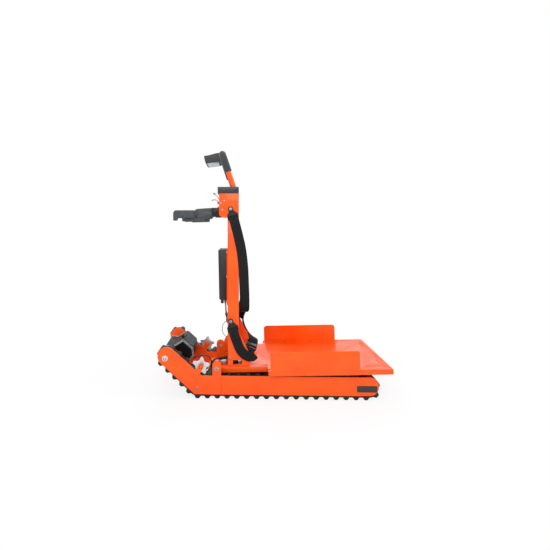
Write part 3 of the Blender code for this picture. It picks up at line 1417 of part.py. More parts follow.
ratchet_across = Vector((math.cos(math.radians(20)), 0, -math.sin(math.radians(20))))
ratchet_along = Vector((0.291, 0.527, 0.799)).normalized()
ratchet_out = ratchet_along.cross(ratchet_across).normalized()
RATCHET = Vector(RATCHET_CENTRE)


def ratchet_view(u, v, w):
    """Along the webbing, out of it and across it."""
    return RATCHET + ratchet_along * u + ratchet_out * v + ratchet_across * w


bm = bmesh.new()
cheek_shape = [(-0.026, -0.006), (0.026, -0.006), (0.028, 0.004), (0.012, 0.013), (-0.012, 0.013),
               (-0.028, 0.004)]
for low in (-0.0290, 0.0270):
    extrude(bm, rounded(cheek_shape, 0.003, 3), low, low + 0.002, ratchet_view)
ratchet = piece("ratchet_frame", bm, "bright_steel", PIVOT)
bm = bmesh.new()
for u, v, radius in ((0, 0.004, 0.0065), (0.022, -0.001, 0.0035), (-0.022, -0.001, 0.0035)):
    rod(bm, ratchet_view(u, v, -0.0275), ratchet_view(u, v, 0.0275), radius, 12)
weld(ratchet, bm)

bm = bmesh.new()
for low in (-0.0315, 0.0295):
    extrude(bm, stadium(0, 0.004, 0.012, 0.030, 0.009, 6), low, low + 0.002, ratchet_view)
ratchet_handle = piece("ratchet_handle", bm, "black_plastic", ratchet_view(0, 0.004, 0))
bm = bmesh.new()
grip = rounded(rectangle(0.002, 0.024, 0.027, 0.037), 0.004, 3)
extrude(bm, grip, -0.0305, 0.0305, ratchet_view)
weld(ratchet_handle, bm)

# Lower belt: from the near fitting round the gusset up to the ratchet, and on to the far fitting
belt_level = -0.0071
near_stations = strap_start("near_lower")
near_stations += [((-0.1760, -0.1945, 0.2730), (0.94, 0, 0.34)),
                  ((-0.1580, -0.1950, 0.2320), (0.85, 0, 0.53)),
                  ((-0.1370, -0.1960, 0.2080), (0.57, 0, 0.82)),
                  ((-0.1160, -0.1965, 0.1975), (0.14, 0, 0.99)),
                  ((-0.0985, -0.1940, 0.1970), (-0.25, 0, 0.97)),
                  ((-0.0880, -0.1820, 0.1990), (-0.50, -0.1, 0.86)),
                  ((-0.0860, -0.1690, 0.2030), (-0.70, -0.05, 0.70))]
near_stations += [(ratchet_view(u, v, 0), -ratchet_across)
                  for u, v in ((-0.044, -0.0125), (-0.033, -0.0090),
                               (-0.022, belt_level), (-0.012, belt_level))]
bm = bmesh.new()
strap(bm, near_stations, WEBBING, WEBBING_THICK)
piece("near_lower_belt", bm, "webbing", PIVOT, smooth=True)

far_stations = [(ratchet_view(u, belt_level, 0), ratchet_across) for u in (0.012, 0.022, 0.034)]
far_stations += [((-0.1060, -0.0680, 0.2800), (0.80, -0.20, 0.45)),
                 ((-0.1260, -0.0100, 0.2960), (0.45, -0.35, 0.80)),
                 ((-0.1380, 0.0600, 0.3100), (0.35, -0.30, 0.88)),
                 ((-0.1400, 0.1250, 0.3190), (0.50, -0.10, 0.80)),
                 ((-0.1370, 0.1850, 0.3240), (0.70, 0, 0.7)),
                 ((-0.1430, 0.1945, 0.3265), (0.62, 0, 0.78))]
far_stations += strap_start("far_lower")[::-1]
bm = bmesh.new()
strap(bm, far_stations, WEBBING, WEBBING_THICK)
piece("far_lower_belt", bm, "webbing", PIVOT, smooth=True)


# Cable down the mast and the conduit from the cross channel to the mast's crosspiece

bm = bmesh.new()
route = cable_path((-0.2390, MAST_CABLE_Y, BATTERY_LOW - 2 * FIT),
                   [(-0.2390, MAST_CABLE_Y, BATTERY_LOW - 0.010), (-0.2370, MAST_CABLE_Y, 0.420),
                    (-0.2300, MAST_CABLE_Y, 0.360), (-0.2160, MAST_CABLE_Y, 0.310),
                    (-0.2080, MAST_CABLE_Y, 0.285), (-0.2080, MAST_CABLE_Y, 0.269)],
                   (-0.2080, MAST_CABLE_Y, 0.2605))
tube(bm, route, 0.004, (0, 1, 0), 6)
piece("mast_cable", bm, "black_plastic", PIVOT, smooth=True)

bm = bmesh.new()
route = cable_path((-0.3180, CONDUIT_Y, 0.0885),
                   [(-0.3180, CONDUIT_Y, 0.0980), (-0.3040, CONDUIT_Y, 0.1270),
                    (-0.2740, CONDUIT_Y, 0.1410), (-0.2400, CONDUIT_Y, 0.1470),
                    (-0.2140, CONDUIT_Y, 0.1620), (-0.2060, CONDUIT_Y, 0.1880)],
                   (-0.2060, CONDUIT_Y, 0.1995))
tube(bm, route, CONDUIT_RADIUS, (0, 1, 0), 8)
piece("conduit", bm, "black_plastic", PIVOT, smooth=True)
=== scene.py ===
# %% [markdown]
# # Tracked stair climbing trolley: the looks
#
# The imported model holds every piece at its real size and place. This script dresses it: each
# plate gets softened edges and a real finish, and the tubes, belts, cables, grips and small
# fasteners are made again with the detail that a maker would see on the bench. Units are
# metres, +Z is up, the load stands at +X and the operator at -X.

import json
import math

import bmesh
import bpy
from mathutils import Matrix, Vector

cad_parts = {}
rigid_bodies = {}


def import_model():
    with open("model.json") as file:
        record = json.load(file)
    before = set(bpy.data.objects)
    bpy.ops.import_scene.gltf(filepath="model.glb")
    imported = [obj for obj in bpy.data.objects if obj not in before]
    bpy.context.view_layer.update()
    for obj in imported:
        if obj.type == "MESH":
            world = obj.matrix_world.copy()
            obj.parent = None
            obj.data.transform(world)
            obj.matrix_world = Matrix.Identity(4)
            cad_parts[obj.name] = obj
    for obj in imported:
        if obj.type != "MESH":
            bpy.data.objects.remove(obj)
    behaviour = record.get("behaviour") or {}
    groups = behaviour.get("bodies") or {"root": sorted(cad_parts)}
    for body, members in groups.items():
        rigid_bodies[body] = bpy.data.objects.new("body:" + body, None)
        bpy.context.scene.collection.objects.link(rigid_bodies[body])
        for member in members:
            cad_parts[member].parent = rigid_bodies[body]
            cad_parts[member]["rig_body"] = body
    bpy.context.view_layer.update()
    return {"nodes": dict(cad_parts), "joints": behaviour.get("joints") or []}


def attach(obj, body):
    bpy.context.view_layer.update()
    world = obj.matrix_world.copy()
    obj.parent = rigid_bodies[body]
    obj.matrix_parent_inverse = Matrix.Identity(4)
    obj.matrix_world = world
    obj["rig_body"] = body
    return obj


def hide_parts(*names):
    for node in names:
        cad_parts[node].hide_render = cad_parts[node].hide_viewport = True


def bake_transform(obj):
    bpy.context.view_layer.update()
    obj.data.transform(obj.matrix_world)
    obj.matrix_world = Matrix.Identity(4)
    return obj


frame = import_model()
nodes = frame["nodes"]
MM = 0.001
SIDES = (("near", -1), ("far", 1))

# %% [markdown]
# ## Camera
# The photograph was taken from the near side, from about 0.87 m above the floor and 2.3 m
# away. The level edges of the box and of the tracks gave the camera's height, and the spread
# of the near and far sides gave its distance. The lens could be tilted down to frame the
# trolley, but the posts would lean; it stays level, and a shift of the sensor frames it.

# %% Camera
PHOTO_SIZE = 550
FOCAL_PX = 408.0
CENTRE_PX = (228.3, 226.0)
SENSOR_MM = 36.0
CAMERA_YAW = math.radians(1.64)
CAMERA_AT = (-0.1600, -2.2892, 0.866)

camera_data = bpy.data.cameras.new("camera")
camera_data.sensor_width = SENSOR_MM
camera_data.lens = SENSOR_MM * FOCAL_PX / PHOTO_SIZE
camera_data.shift_x = 0.5 - CENTRE_PX[0] / PHOTO_SIZE
camera_data.shift_y = CENTRE_PX[1] / PHOTO_SIZE - 0.5
camera_data.clip_start = 0.05
camera = bpy.data.objects.new("camera", camera_data)
camera.location = CAMERA_AT
camera.rotation_euler = (math.radians(90), 0, CAMERA_YAW)
bpy.context.scene.collection.objects.link(camera)
bpy.context.scene.camera = camera
print("lens", round(camera_data.lens, 2), "mm, shift", round(camera_data.shift_x, 4),
      round(camera_data.shift_y, 4))

# %% [markdown]
# ## Studio
# A white room: a pale floor that keeps the soft shadow, and a white world. What the camera
# sees of the world is pure white, while the light that reaches the trolley stays at a level
# where a colour renders about as it is written. The floor glows for the camera alone, a little
# less under the trolley, where its shadow lies, and fully from 1.25 m away, so that no horizon
# shows. A picture of a studio could light it too, but a plain world and three broad lamps are
# easier to steer, and the lamps give the paint its long soft highlights.


# %% Helpers for colours and shader nodes
def srgb(code):
    """A hex colour as linear values."""
    parts = [int(code[i:i + 2], 16) / 255 for i in (1, 3, 5)]
    return (*(c / 12.92 if c <= 0.04045 else ((c + 0.055) / 1.055) ** 2.4 for c in parts), 1.0)


def add(tree, kind, inputs=None, **settings):
    """One node, with its settings, and its inputs as values or as links from other sockets."""
    made = tree.nodes.new(kind)
    for name, value in settings.items():
        setattr(made, name, value)
    for name, value in (inputs or {}).items():
        if isinstance(value, bpy.types.NodeSocket):
            tree.links.new(value, made.inputs[name])
        else:
            made.inputs[name].default_value = value
    return made


def blank_material(name):
    material = bpy.data.materials.new(name)
    material.use_nodes = True
    tree = material.node_tree
    return material, tree, tree.nodes["Principled BSDF"]


# %% World, floor and lamps
scene = bpy.context.scene
scene.view_settings.view_transform = "Standard"

world = bpy.data.worlds.new("white_room")
world.use_nodes = True
tree = world.node_tree
tree.nodes.clear()
path = add(tree, "ShaderNodeLightPath")
seen = add(tree, "ShaderNodeMath", {0: path.outputs["Is Camera Ray"], 1: path.outputs["Is Glossy Ray"]},
           operation="MAXIMUM")
seen_white = add(tree, "ShaderNodeMath", {0: seen.outputs[0], 1: path.outputs["Is Transmission Ray"]},
                 operation="MAXIMUM")
WORLD_LIGHT = 0.62
strength = add(tree, "ShaderNodeMapRange", {"Value": seen_white.outputs[0], "To Min": WORLD_LIGHT,
                                            "To Max": 1.0})
background = add(tree, "ShaderNodeBackground", {"Color": (1, 1, 1, 1),
                                                "Strength": strength.outputs["Result"]})
add(tree, "ShaderNodeOutputWorld", {"Surface": background.outputs["Background"]})
scene.world = world

FLOOR_HALF, FLOOR_DROP = 6.0, 0.0004
mesh = bpy.data.meshes.new("floor")
mesh.from_pydata([(-FLOOR_HALF, -FLOOR_HALF, 0), (FLOOR_HALF, -FLOOR_HALF, 0),
                  (FLOOR_HALF, FLOOR_HALF, 0), (-FLOOR_HALF, FLOOR_HALF, 0)], [], [(0, 1, 2, 3)])
floor = bpy.data.objects.new("floor", mesh)
floor.location = (0, 0, -FLOOR_DROP)
scene.collection.objects.link(floor)
floor_paint, tree, shader = blank_material("white_studio_floor")
shader.inputs["Base Color"].default_value = (0.93, 0.93, 0.93, 1)
shader.inputs["Roughness"].default_value = 0.85
path = add(tree, "ShaderNodeLightPath")
glow = add(tree, "ShaderNodeEmission", {"Color": (1, 1, 1, 1), "Strength": 1.0})
spot = add(tree, "ShaderNodeTexCoord").outputs["Object"]
away = add(tree, "ShaderNodeVectorMath", {0: spot}, operation="LENGTH")
fade = add(tree, "ShaderNodeMapRange", {"Value": away.outputs["Value"], "From Min": 0.55,
                                        "From Max": 1.25, "To Min": 0.82, "To Max": 1.0})
share = add(tree, "ShaderNodeMath", {0: path.outputs["Is Camera Ray"], 1: fade.outputs["Result"]},
            operation="MULTIPLY")
mixed = add(tree, "ShaderNodeMixShader", {0: share.outputs[0], 1: shader.outputs["BSDF"],
                                          2: glow.outputs["Emission"]})
tree.links.new(mixed.outputs["Shader"], tree.nodes["Material Output"].inputs["Surface"])
mesh.materials.append(floor_paint)


def lamp(name, place, target, size, power):
    data = bpy.data.lights.new(name, "AREA")
    data.shape = "RECTANGLE"
    data.size, data.size_y = size
    data.energy = power
    made = bpy.data.objects.new(name, data)
    made.location = place
    made.rotation_euler = (Vector(target) - Vector(place)).to_track_quat("-Z", "Y").to_euler()
    scene.collection.objects.link(made)


lamp("near_softbox", (-0.9, -2.9, 2.5), (-0.1, 0, 0.45), (2.4, 1.8), 52)
lamp("load_softbox", (2.3, -0.9, 2.2), (0.0, 0, 0.4), (1.6, 1.6), 26)
lamp("back_softbox", (-0.6, 2.6, 2.6), (0.0, 0, 0.5), (2.4, 1.4), 30)

# %% [markdown]
# ## Finishes
# Every finish starts from the real material. Photographs of surfaces could be laid on the
# pieces, but patterns worked out by nodes need no unwrapping and stay sharp up close. They read
# object coordinates, whose unit is the metre, so that a texture scale of 1000 means one cell
# for each millimetre.


# %% Finish helpers
def place_of(tree):
    return add(tree, "ShaderNodeTexCoord").outputs["Object"]


def noise(tree, size_mm, detail=3.0, rough=0.5):
    """Noise whose cells are about size_mm across."""
    return add(tree, "ShaderNodeTexNoise", {"Vector": place_of(tree), "Scale": 1000.0 / size_mm,
                                            "Detail": detail, "Roughness": rough}).outputs["Fac"]


def vary_colour(tree, shader, fac, low, high, from_min=0.3, from_max=0.7):
    """The base colour runs from one hex colour to another with a pattern."""
    spread = add(tree, "ShaderNodeMapRange", {"Value": fac, "From Min": from_min, "From Max": from_max})
    mix = add(tree, "ShaderNodeMix", {0: spread.outputs["Result"], 6: srgb(low), 7: srgb(high)},
              data_type="RGBA")
    tree.links.new(mix.outputs[2], shader.inputs["Base Color"])


def vary_roughness(tree, shader, fac, low, high):
    spread = add(tree, "ShaderNodeMapRange", {"Value": fac, "From Min": 0.3, "From Max": 0.7,
                                              "To Min": low, "To Max": high})
    tree.links.new(spread.outputs["Result"], shader.inputs["Roughness"])


def relief(tree, shader, height, depth_mm, strength=1.0, before=None):
    """A bump of depth_mm from a pattern that runs from 0 to 1."""
    inputs = {"Height": height, "Distance": depth_mm * MM, "Strength": strength}
    if before is not None:
        inputs["Normal"] = before.outputs["Normal"]
    bump = add(tree, "ShaderNodeBump", inputs)
    tree.links.new(bump.outputs["Normal"], shader.inputs["Normal"])
    return bump


# %% [markdown]
# ### Powder coated steel
# The plates are mild steel with a baked orange powder coat. The eye sees an even, strong
# colour under a clear skin, with the faint waviness called orange peel, about 3 mm across.
# The skin is a coat layer, so that white surroundings wash over the paint at low angles. One
# even colour would do from afar; a wide cloud and the peel keep the plates from looking like
# plastic up close.

# %% Powder coat
POWDER_ORANGE = "#FF5F10"
POWDER_DEEP = "#FB5307"
PEEL_MM = 3.2


def powder_coat(name, light, deep, rough):
    material, tree, shader = blank_material(name)
    cloud = noise(tree, 120, 2.0)
    vary_colour(tree, shader, cloud, deep, light)
    vary_roughness(tree, shader, noise(tree, 9), rough, rough + 0.07)
    shader.inputs["Specular IOR Level"].default_value = 0.20
    shader.inputs["Coat Weight"].default_value = 0.24
    shader.inputs["Coat Roughness"].default_value = 0.06
    grain = relief(tree, shader, noise(tree, 0.5, 1.0), 0.006)
    relief(tree, shader, noise(tree, PEEL_MM, 1.0), 0.02, 0.6, grain)
    return material


orange_powder_coat = powder_coat("orange_powder_coat", POWDER_ORANGE, POWDER_DEEP, 0.30)

# %% [markdown]
# ### Rubbers and foams
# The tracks are moulded natural rubber: near black, matt, with a dry bloom and light scuffs.
# The handle foam is closed-cell nitrile: dark grey with a fine open skin of cells. The lower
# grips and the palm block are a soft moulded elastomer with a leather-like grain. A cell
# pattern makes the skins of the foam and the grips, and soft noise makes the tracks' wear.


# %% Rubbers and foams
def track_rubber_finish():
    material, tree, shader = blank_material("moulded_track_rubber")
    patch = noise(tree, 30, 5.0, 0.65)
    vary_colour(tree, shader, patch, "#16181A", "#2B2F31", 0.35, 0.75)
    vary_roughness(tree, shader, noise(tree, 14), 0.62, 0.80)
    shader.inputs["Specular IOR Level"].default_value = 0.35
    fine = relief(tree, shader, noise(tree, 0.7, 3.0), 0.04)
    relief(tree, shader, patch, 0.25, 0.5, fine)
    return material


def foam_finish():
    material, tree, shader = blank_material("nitrile_handle_foam")
    # The real cells are a quarter of this size, which is too fine to show in the picture
    cells = add(tree, "ShaderNodeTexVoronoi", {"Vector": place_of(tree), "Scale": 1000.0 / 1.1},
                feature="F1").outputs["Distance"]
    vary_colour(tree, shader, noise(tree, 2.2, 3.0), "#2C3033", "#3A3F42")
    shader.inputs["Roughness"].default_value = 0.88
    shader.inputs["Sheen Weight"].default_value = 0.25
    shader.inputs["Sheen Roughness"].default_value = 0.5
    relief(tree, shader, cells, 0.10)
    return material


def elastomer_finish(name, low, high):
    material, tree, shader = blank_material(name)
    grain = add(tree, "ShaderNodeTexVoronoi", {"Vector": place_of(tree), "Scale": 1000.0 / 1.6},
                feature="DISTANCE_TO_EDGE").outputs["Distance"]
    vary_colour(tree, shader, noise(tree, 18), low, high)
    vary_roughness(tree, shader, noise(tree, 7), 0.50, 0.64)
    relief(tree, shader, grain, 0.06)
    return material


track_rubber = track_rubber_finish()
handle_foam = foam_finish()
grip_elastomer = elastomer_finish("moulded_grip_elastomer", "#2F3437", "#3D4346")
palm_elastomer = elastomer_finish("moulded_palm_elastomer", "#2B2F31", "#383D40")

# %% [markdown]
# ### Plastics
# The battery case and the cap of the control box are injection moulded ABS with a fine spark
# texture. The wheels are black nylon, a little waxy. The stop button and the release lever
# are glossy and red, and the cables have a PVC jacket. These differ in tint, gloss and grain
# alone, so one function makes them all.


# %% Plastics
def moulded_plastic(name, low, high, rough, grain_mm=0.6, depth_mm=0.02, coat=0.0):
    material, tree, shader = blank_material(name)
    vary_colour(tree, shader, noise(tree, 40), low, high)
    vary_roughness(tree, shader, noise(tree, 12), rough, rough + 0.08)
    shader.inputs["IOR"].default_value = 1.53
    shader.inputs["Coat Weight"].default_value = coat
    relief(tree, shader, noise(tree, grain_mm, 2.0), depth_mm)
    return material


battery_abs = moulded_plastic("spark_textured_abs", "#121415", "#1B1E1F", 0.48)
cap_abs = moulded_plastic("smooth_dark_abs", "#1F2426", "#282D2F", 0.42)
handle_nylon = moulded_plastic("glass_filled_nylon", "#2B2F31", "#3A3F42", 0.45, 0.9, 0.03)
wheel_nylon = moulded_plastic("wheel_nylon", "#1D1F20", "#292C2D", 0.40)
cable_pvc = moulded_plastic("cable_pvc", "#191B1C", "#232627", 0.38, 1.2, 0.01)
badge_plastic = moulded_plastic("bare_badge_plate", "#1F2021", "#2A2B2C", 0.33, 0.5, 0.006)
red_gloss_plastic = moulded_plastic("red_gloss_plastic", "#B8351F", "#C84A2C", 0.24, 2.0, 0.004, 0.4)
knob_phenolic = moulded_plastic("grey_phenolic_knob", "#9A9D9F", "#ABAEB0", 0.28, 2.0, 0.004, 0.3)

# %% [markdown]
# ### Metals
# Star wheels, the shaft and the palm lever are zinc plated steel: bright, slightly cloudy,
# with soft reflections. Bolts and the ratchet's handle are of a duller, aged zinc. Belt
# fittings and the actuator barrel are blackened steel. The gearbox is cast aluminium under
# satin black paint, and its cooling block is grey. A fully metallic zinc would only mirror the
# white room, so a share of its plain colour is kept.


# %% Metals
def zinc_plate(name, low, high, rough, metallic):
    material, tree, shader = blank_material(name)
    cloud = noise(tree, 6, 4.0)
    vary_colour(tree, shader, cloud, low, high)
    vary_roughness(tree, shader, cloud, rough, rough + 0.14)
    shader.inputs["Metallic"].default_value = metallic
    relief(tree, shader, noise(tree, 0.8), 0.008)
    return material


def black_oxide():
    material, tree, shader = blank_material("black_oxide_steel")
    vary_colour(tree, shader, noise(tree, 10), "#232425", "#303233")
    vary_roughness(tree, shader, noise(tree, 5), 0.34, 0.50)
    shader.inputs["Metallic"].default_value = 0.7
    relief(tree, shader, noise(tree, 0.6), 0.01)
    return material


def cast_paint(name, low, high, rough, metallic):
    material, tree, shader = blank_material(name)
    vary_colour(tree, shader, noise(tree, 16, 4.0), low, high)
    vary_roughness(tree, shader, noise(tree, 5), rough, rough + 0.12)
    shader.inputs["Metallic"].default_value = metallic
    shader.inputs["Specular IOR Level"].default_value = 0.18
    relief(tree, shader, noise(tree, 1.1, 3.0), 0.05)
    return material


zinc_plated_steel = zinc_plate("zinc_plated_steel", "#C4C7C9", "#DCDEDF", 0.34, 0.72)
aged_zinc = zinc_plate("aged_zinc_screws", "#8E9193", "#B2B5B6", 0.42, 0.80)
black_oxide_steel = black_oxide()
motor_satin_black = cast_paint("satin_black_casting", "#090A0B", "#131516", 0.42, 0.0)
cooling_grey = cast_paint("grey_cast_aluminium", "#3E4345", "#585D60", 0.40, 0.5)

# %% [markdown]
# ### Webbing
# The belts are 50 mm polyester webbing. Its weave shows as fine ribs across the belt and as
# two selvedges that are a little smoother. The pattern reads the belt's own UV map, in
# millimetres along and across, so it follows every bend. The real ribs stand 1.1 mm apart,
# which is too fine to show, so they are drawn at twice that. Woven threads could be modelled
# one by one, but a bump is enough for a weave as fine as this.


# %% Webbing finish
def webbing_finish():
    material, tree, shader = blank_material("black_polyester_webbing")
    flat = add(tree, "ShaderNodeUVMap", uv_map="weave").outputs["UV"]
    parts = add(tree, "ShaderNodeSeparateXYZ", {"Vector": flat})
    rib_mm = 2.2
    ribs = add(tree, "ShaderNodeMath", {0: parts.outputs["Y"], 1: 2 * math.pi / rib_mm},
               operation="MULTIPLY")
    rib_wave = add(tree, "ShaderNodeMath", {0: ribs.outputs[0]}, operation="SINE")
    yarn_mm = 3.0
    yarns = add(tree, "ShaderNodeMath", {0: parts.outputs["X"], 1: 2 * math.pi / yarn_mm},
                operation="MULTIPLY")
    yarn_wave = add(tree, "ShaderNodeMath", {0: yarns.outputs[0]}, operation="SINE")
    cross = add(tree, "ShaderNodeMath", {0: rib_wave.outputs[0], 1: yarn_wave.outputs[0]},
                operation="MULTIPLY")
    weave = add(tree, "ShaderNodeMapRange", {"Value": cross.outputs[0], "From Min": -1.0, "From Max": 1.0})
    vary_colour(tree, shader, weave.outputs["Result"], "#060708", "#111315", 0.0, 1.0)
    shader.inputs["Roughness"].default_value = 0.72
    shader.inputs["Specular IOR Level"].default_value = 0.25
    fuzz = relief(tree, shader, noise(tree, 0.8), 0.03)
    relief(tree, shader, weave.outputs["Result"], 0.18, 0.8, fuzz)
    return material


webbing = webbing_finish()

# %% [markdown]
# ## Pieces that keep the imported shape
# Sheet metal is cut, bent and then coated, so no edge is a knife edge. Each plate is a merged
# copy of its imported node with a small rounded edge, between half a millimetre on sheet and
# three millimetres on the grips. The edges could be cut by hand, but a bevel finds them by
# their angle and leaves each hole and fold in its place. The copy stands for the node and
# rides on the same body.

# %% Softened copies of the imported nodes
MERGE_DISTANCE = 0.00002
FLAT_WITHIN = math.radians(0.5)
SHARP_FROM = math.radians(32)


def merged_copy(name, source):
    """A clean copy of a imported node: its loose triangles joined into flat faces."""
    mesh = nodes[source].data.copy()
    mesh.name = name
    mesh.materials.clear()
    work = bmesh.new()
    work.from_mesh(mesh)
    bmesh.ops.remove_doubles(work, verts=work.verts, dist=MERGE_DISTANCE)
    bmesh.ops.dissolve_limit(work, angle_limit=FLAT_WITHIN, verts=work.verts, edges=work.edges)
    work.to_mesh(mesh)
    work.free()
    made = bpy.data.objects.new(name, mesh)
    scene.collection.objects.link(made)
    return made


def finish_piece(made, material, body, stands_for=None):
    """Gives a finished piece its material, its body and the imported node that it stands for."""
    made.data.materials.clear()
    made.data.materials.append(material)
    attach(made, body)
    if stands_for:
        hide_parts(stands_for)
    return made


def stand_in(made, material, source):
    """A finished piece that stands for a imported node, on the node's own body."""
    return finish_piece(made, material, nodes[source]["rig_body"], source)


def trim(made, material, body):
    """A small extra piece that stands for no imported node."""
    finish_piece(made, material, body)


def soften(source, material, edge_mm):
    """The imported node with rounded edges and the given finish."""
    made = merged_copy(source + "_finished", source)
    made.data.shade_smooth()
    edge = made.modifiers.new("rounded_edges", "BEVEL")
    edge.width = edge_mm * MM
    edge.segments = 2
    edge.limit_method = "ANGLE"
    edge.angle_limit = SHARP_FROM
    edge.harden_normals = True
    edge.use_clamp_overlap = True
    return stand_in(made, material, source)


def both(pattern):
    """The nodes that a pattern names: a star stands for near and far."""
    return [pattern.replace("*", name) for name, _ in SIDES] if "*" in pattern else [pattern]


SOFTENED = (
    (orange_powder_coat, 0.6, "chassis_frame mast_frame near_star_bracket"),
    (orange_powder_coat, 0.7, "*_front_plate *_rear_plate"),
    (orange_powder_coat, 0.8, "deck_frame battery_tray *_deck_guard"),
    (orange_powder_coat, 1.0, "deck_sheet control_box"),
    (cap_abs, 1.4, "control_box_cap"),
    (battery_abs, 2.0, "battery_case"),
    (motor_satin_black, 1.2, "motor_housing"),
    (cooling_grey, 0.6, "motor_cooling_block"),
    (black_oxide_steel, 0.4, "ratchet_frame"),
    (black_oxide_steel, 0.5, "*_handle_bracket *_upper_belt_fitting *_lower_belt_fitting"),
    (black_oxide_steel, 0.6, "actuator_barrel"),
    (aged_zinc, 0.8, "ratchet_handle"),
    (zinc_plated_steel, 0.4, "actuator_rod"),
    (zinc_plated_steel, 0.5, "drive_shaft *_star_wheel"),
    (zinc_plated_steel, 0.8, "palm_lever"),
    (red_gloss_plastic, 0.5, "red_lever"),
    (palm_elastomer, 1.6, "palm_grip"),
    (badge_plastic, 0.4, "*_badge_plate"),
    (track_rubber, 1.6, "*_track_belt"),
    (wheel_nylon, 0.8, "*_drive_wheel *_rear_wheel *_corner_wheel"),
    (handle_nylon, 1.4, "*_lower_handle"),
    (grip_elastomer, 3.0, "*_lower_grip"),
)
finished = {source: soften(source, material, edge_mm) for material, edge_mm, patterns in SOFTENED
            for pattern in patterns.split() for source in both(pattern)}
print(len(finished), "packed nodes softened")

# %% [markdown]
# ### Bare metal on the coated plates
# The bolts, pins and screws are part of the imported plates, and they aren't painted on the real
# machine. A fastener is found by its place in side view: each face that lies wholly within the
# fastener's radius gets the duller zinc of old screws. The deck's pivot and the wheel axles
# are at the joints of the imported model. Separate bolts could be laid on the plates, but they
# would double what is there. The actuator's barrel is black, with a plated end.

# %% Fasteners in their own finish
joint_at = {joint["name"]: joint["pos_m"] for joint in frame["joints"] if "pos_m" in joint}


def axle(name):
    """Where the axle of a joint lies in side view: x and z."""
    x, _, z = joint_at[name]
    return x, z


PIVOT = axle("deck_tilt")
NOSE = axle("drive_axle_spin")
STAR_AXLE = axle("near_star_wheel_spin")
CORNER_AXLE = axle("near_corner_wheel_spin")
REAR_AXLE = axle("near_rear_wheel_spin")
ACTUATOR_Z = 0.1062
BARREL_END_X = -0.176
UPPER_BOLT = (-0.2085, 0.9530)
LOWER_BOLT = (-0.2075, 0.3755)
# x, z and radius of each fastener, by the plate that holds it
FASTENERS = {
    "*_front_plate": [(*PIVOT, 0.0112), (*CORNER_AXLE, 0.0064)],
    "chassis_frame": [(*PIVOT, 0.0115), (*CORNER_AXLE, 0.0100), (*REAR_AXLE, 0.0100),
                      (-0.148, ACTUATOR_Z, 0.0042)],
    "mast_frame": [(-0.2100, 0.1900, 0.0060), (-0.2908, ACTUATOR_Z, 0.0050)],
    "control_box": [(-0.2505, 0.9490, 0.0050), (-0.2420, 0.9960, 0.0050), (-0.2600, 0.9830, 0.0050)],
    "*_upper_belt_fitting": [(*UPPER_BOLT, 0.0082)],
    "*_lower_belt_fitting": [(*LOWER_BOLT, 0.0082)],
}


def paint_faces(made, material, chosen):
    """The faces whose corners are all chosen get another finish; gives their number."""
    made.data.materials.append(material)
    index = len(made.data.materials) - 1
    count = 0
    for face in made.data.polygons:
        if chosen([made.data.vertices[i].co for i in face.vertices]):
            face.material_index = index
            count += 1
    return count


def within(spots):
    """True for corners that lie inside the radius of one spot, seen from the side."""
    return lambda corners: any(all(math.hypot(co.x - x, co.z - z) < radius for co in corners)
                               for x, z, radius in spots)


painted = {source: paint_faces(finished[source], aged_zinc, within(spots))
           for pattern, spots in FASTENERS.items() for source in both(pattern)}
paint_faces(finished["actuator_barrel"], zinc_plated_steel,
            lambda corners: all(co.x > BARREL_END_X for co in corners))
print("fastener faces", painted)

# %% [markdown]
# ## Helpers for swept shapes
# The handlebar, its foam, the cables and the belts all follow a path. Each one is a skin over
# rings that are carried along the path, with closed ends. A soft curve through a few points
# gives the path, as a cable or a strap has no corners. A curve object with a bevel could do
# this too, but rings also give the belts their own width, turn and UV map.


# %% Paths and skins
def smooth_path(points, steps=8):
    """A soft curve through the points."""
    points = [Vector(p) for p in points]
    path = []
    for i in range(len(points) - 1):
        before = points[max(i - 1, 0)]
        start = points[i]
        end = points[i + 1]
        after = points[min(i + 2, len(points) - 1)]
        for k in range(steps):
            t = k / steps
            path.append(0.5 * (2 * start + (end - before) * t
                               + (2 * before - 5 * start + 4 * end - after) * t ** 2
                               + (3 * start - before - 3 * end + after) * t ** 3))
    return path + [points[-1]]


def round_corner(before, corner, after, radius, steps=12):
    """The arc that rounds the corner of a bent tube."""
    corner = Vector(corner)
    first = (Vector(before) - corner).normalized()
    last = (Vector(after) - corner).normalized()
    half = first.angle(last) / 2
    centre = corner + (first + last).normalized() * radius / math.sin(half)
    start = corner + first * radius / math.tan(half) - centre
    end = corner + last * radius / math.tan(half) - centre
    sweep = start.angle(end)
    shares = [k / steps for k in range(steps + 1)]
    return [centre + (start * math.sin((1 - t) * sweep) + end * math.sin(t * sweep)) / math.sin(sweep)
            for t in shares]


def directions(path):
    last = len(path) - 1
    return [(path[min(i + 1, last)] - path[max(i - 1, 0)]).normalized() for i in range(len(path))]


def skin(name, rings, flat=None):
    """A closed body over rings with the same number of points; flat gives its UVs in millimetres."""
    count = len(rings[0])
    points = [point for ring in rings for point in ring]
    faces = []
    for i in range(len(rings) - 1):
        for j in range(count):
            a = i * count + j
            b = i * count + (j + 1) % count
            faces.append((a, b, b + count, a + count))
    faces.append(tuple(range(count)))
    faces.append(tuple(range(len(points) - count, len(points))))
    mesh = bpy.data.meshes.new(name)
    mesh.from_pydata(points, [], faces)
    if flat:
        layer = mesh.uv_layers.new(name="weave")
        for loop in mesh.loops:
            layer.data[loop.index].uv = flat[loop.vertex_index]
    work = bmesh.new()
    work.from_mesh(mesh)
    bmesh.ops.recalc_face_normals(work, faces=work.faces)
    work.to_mesh(mesh)
    work.free()
    mesh.shade_smooth()
    made = bpy.data.objects.new(name, mesh)
    scene.collection.objects.link(made)
    return made


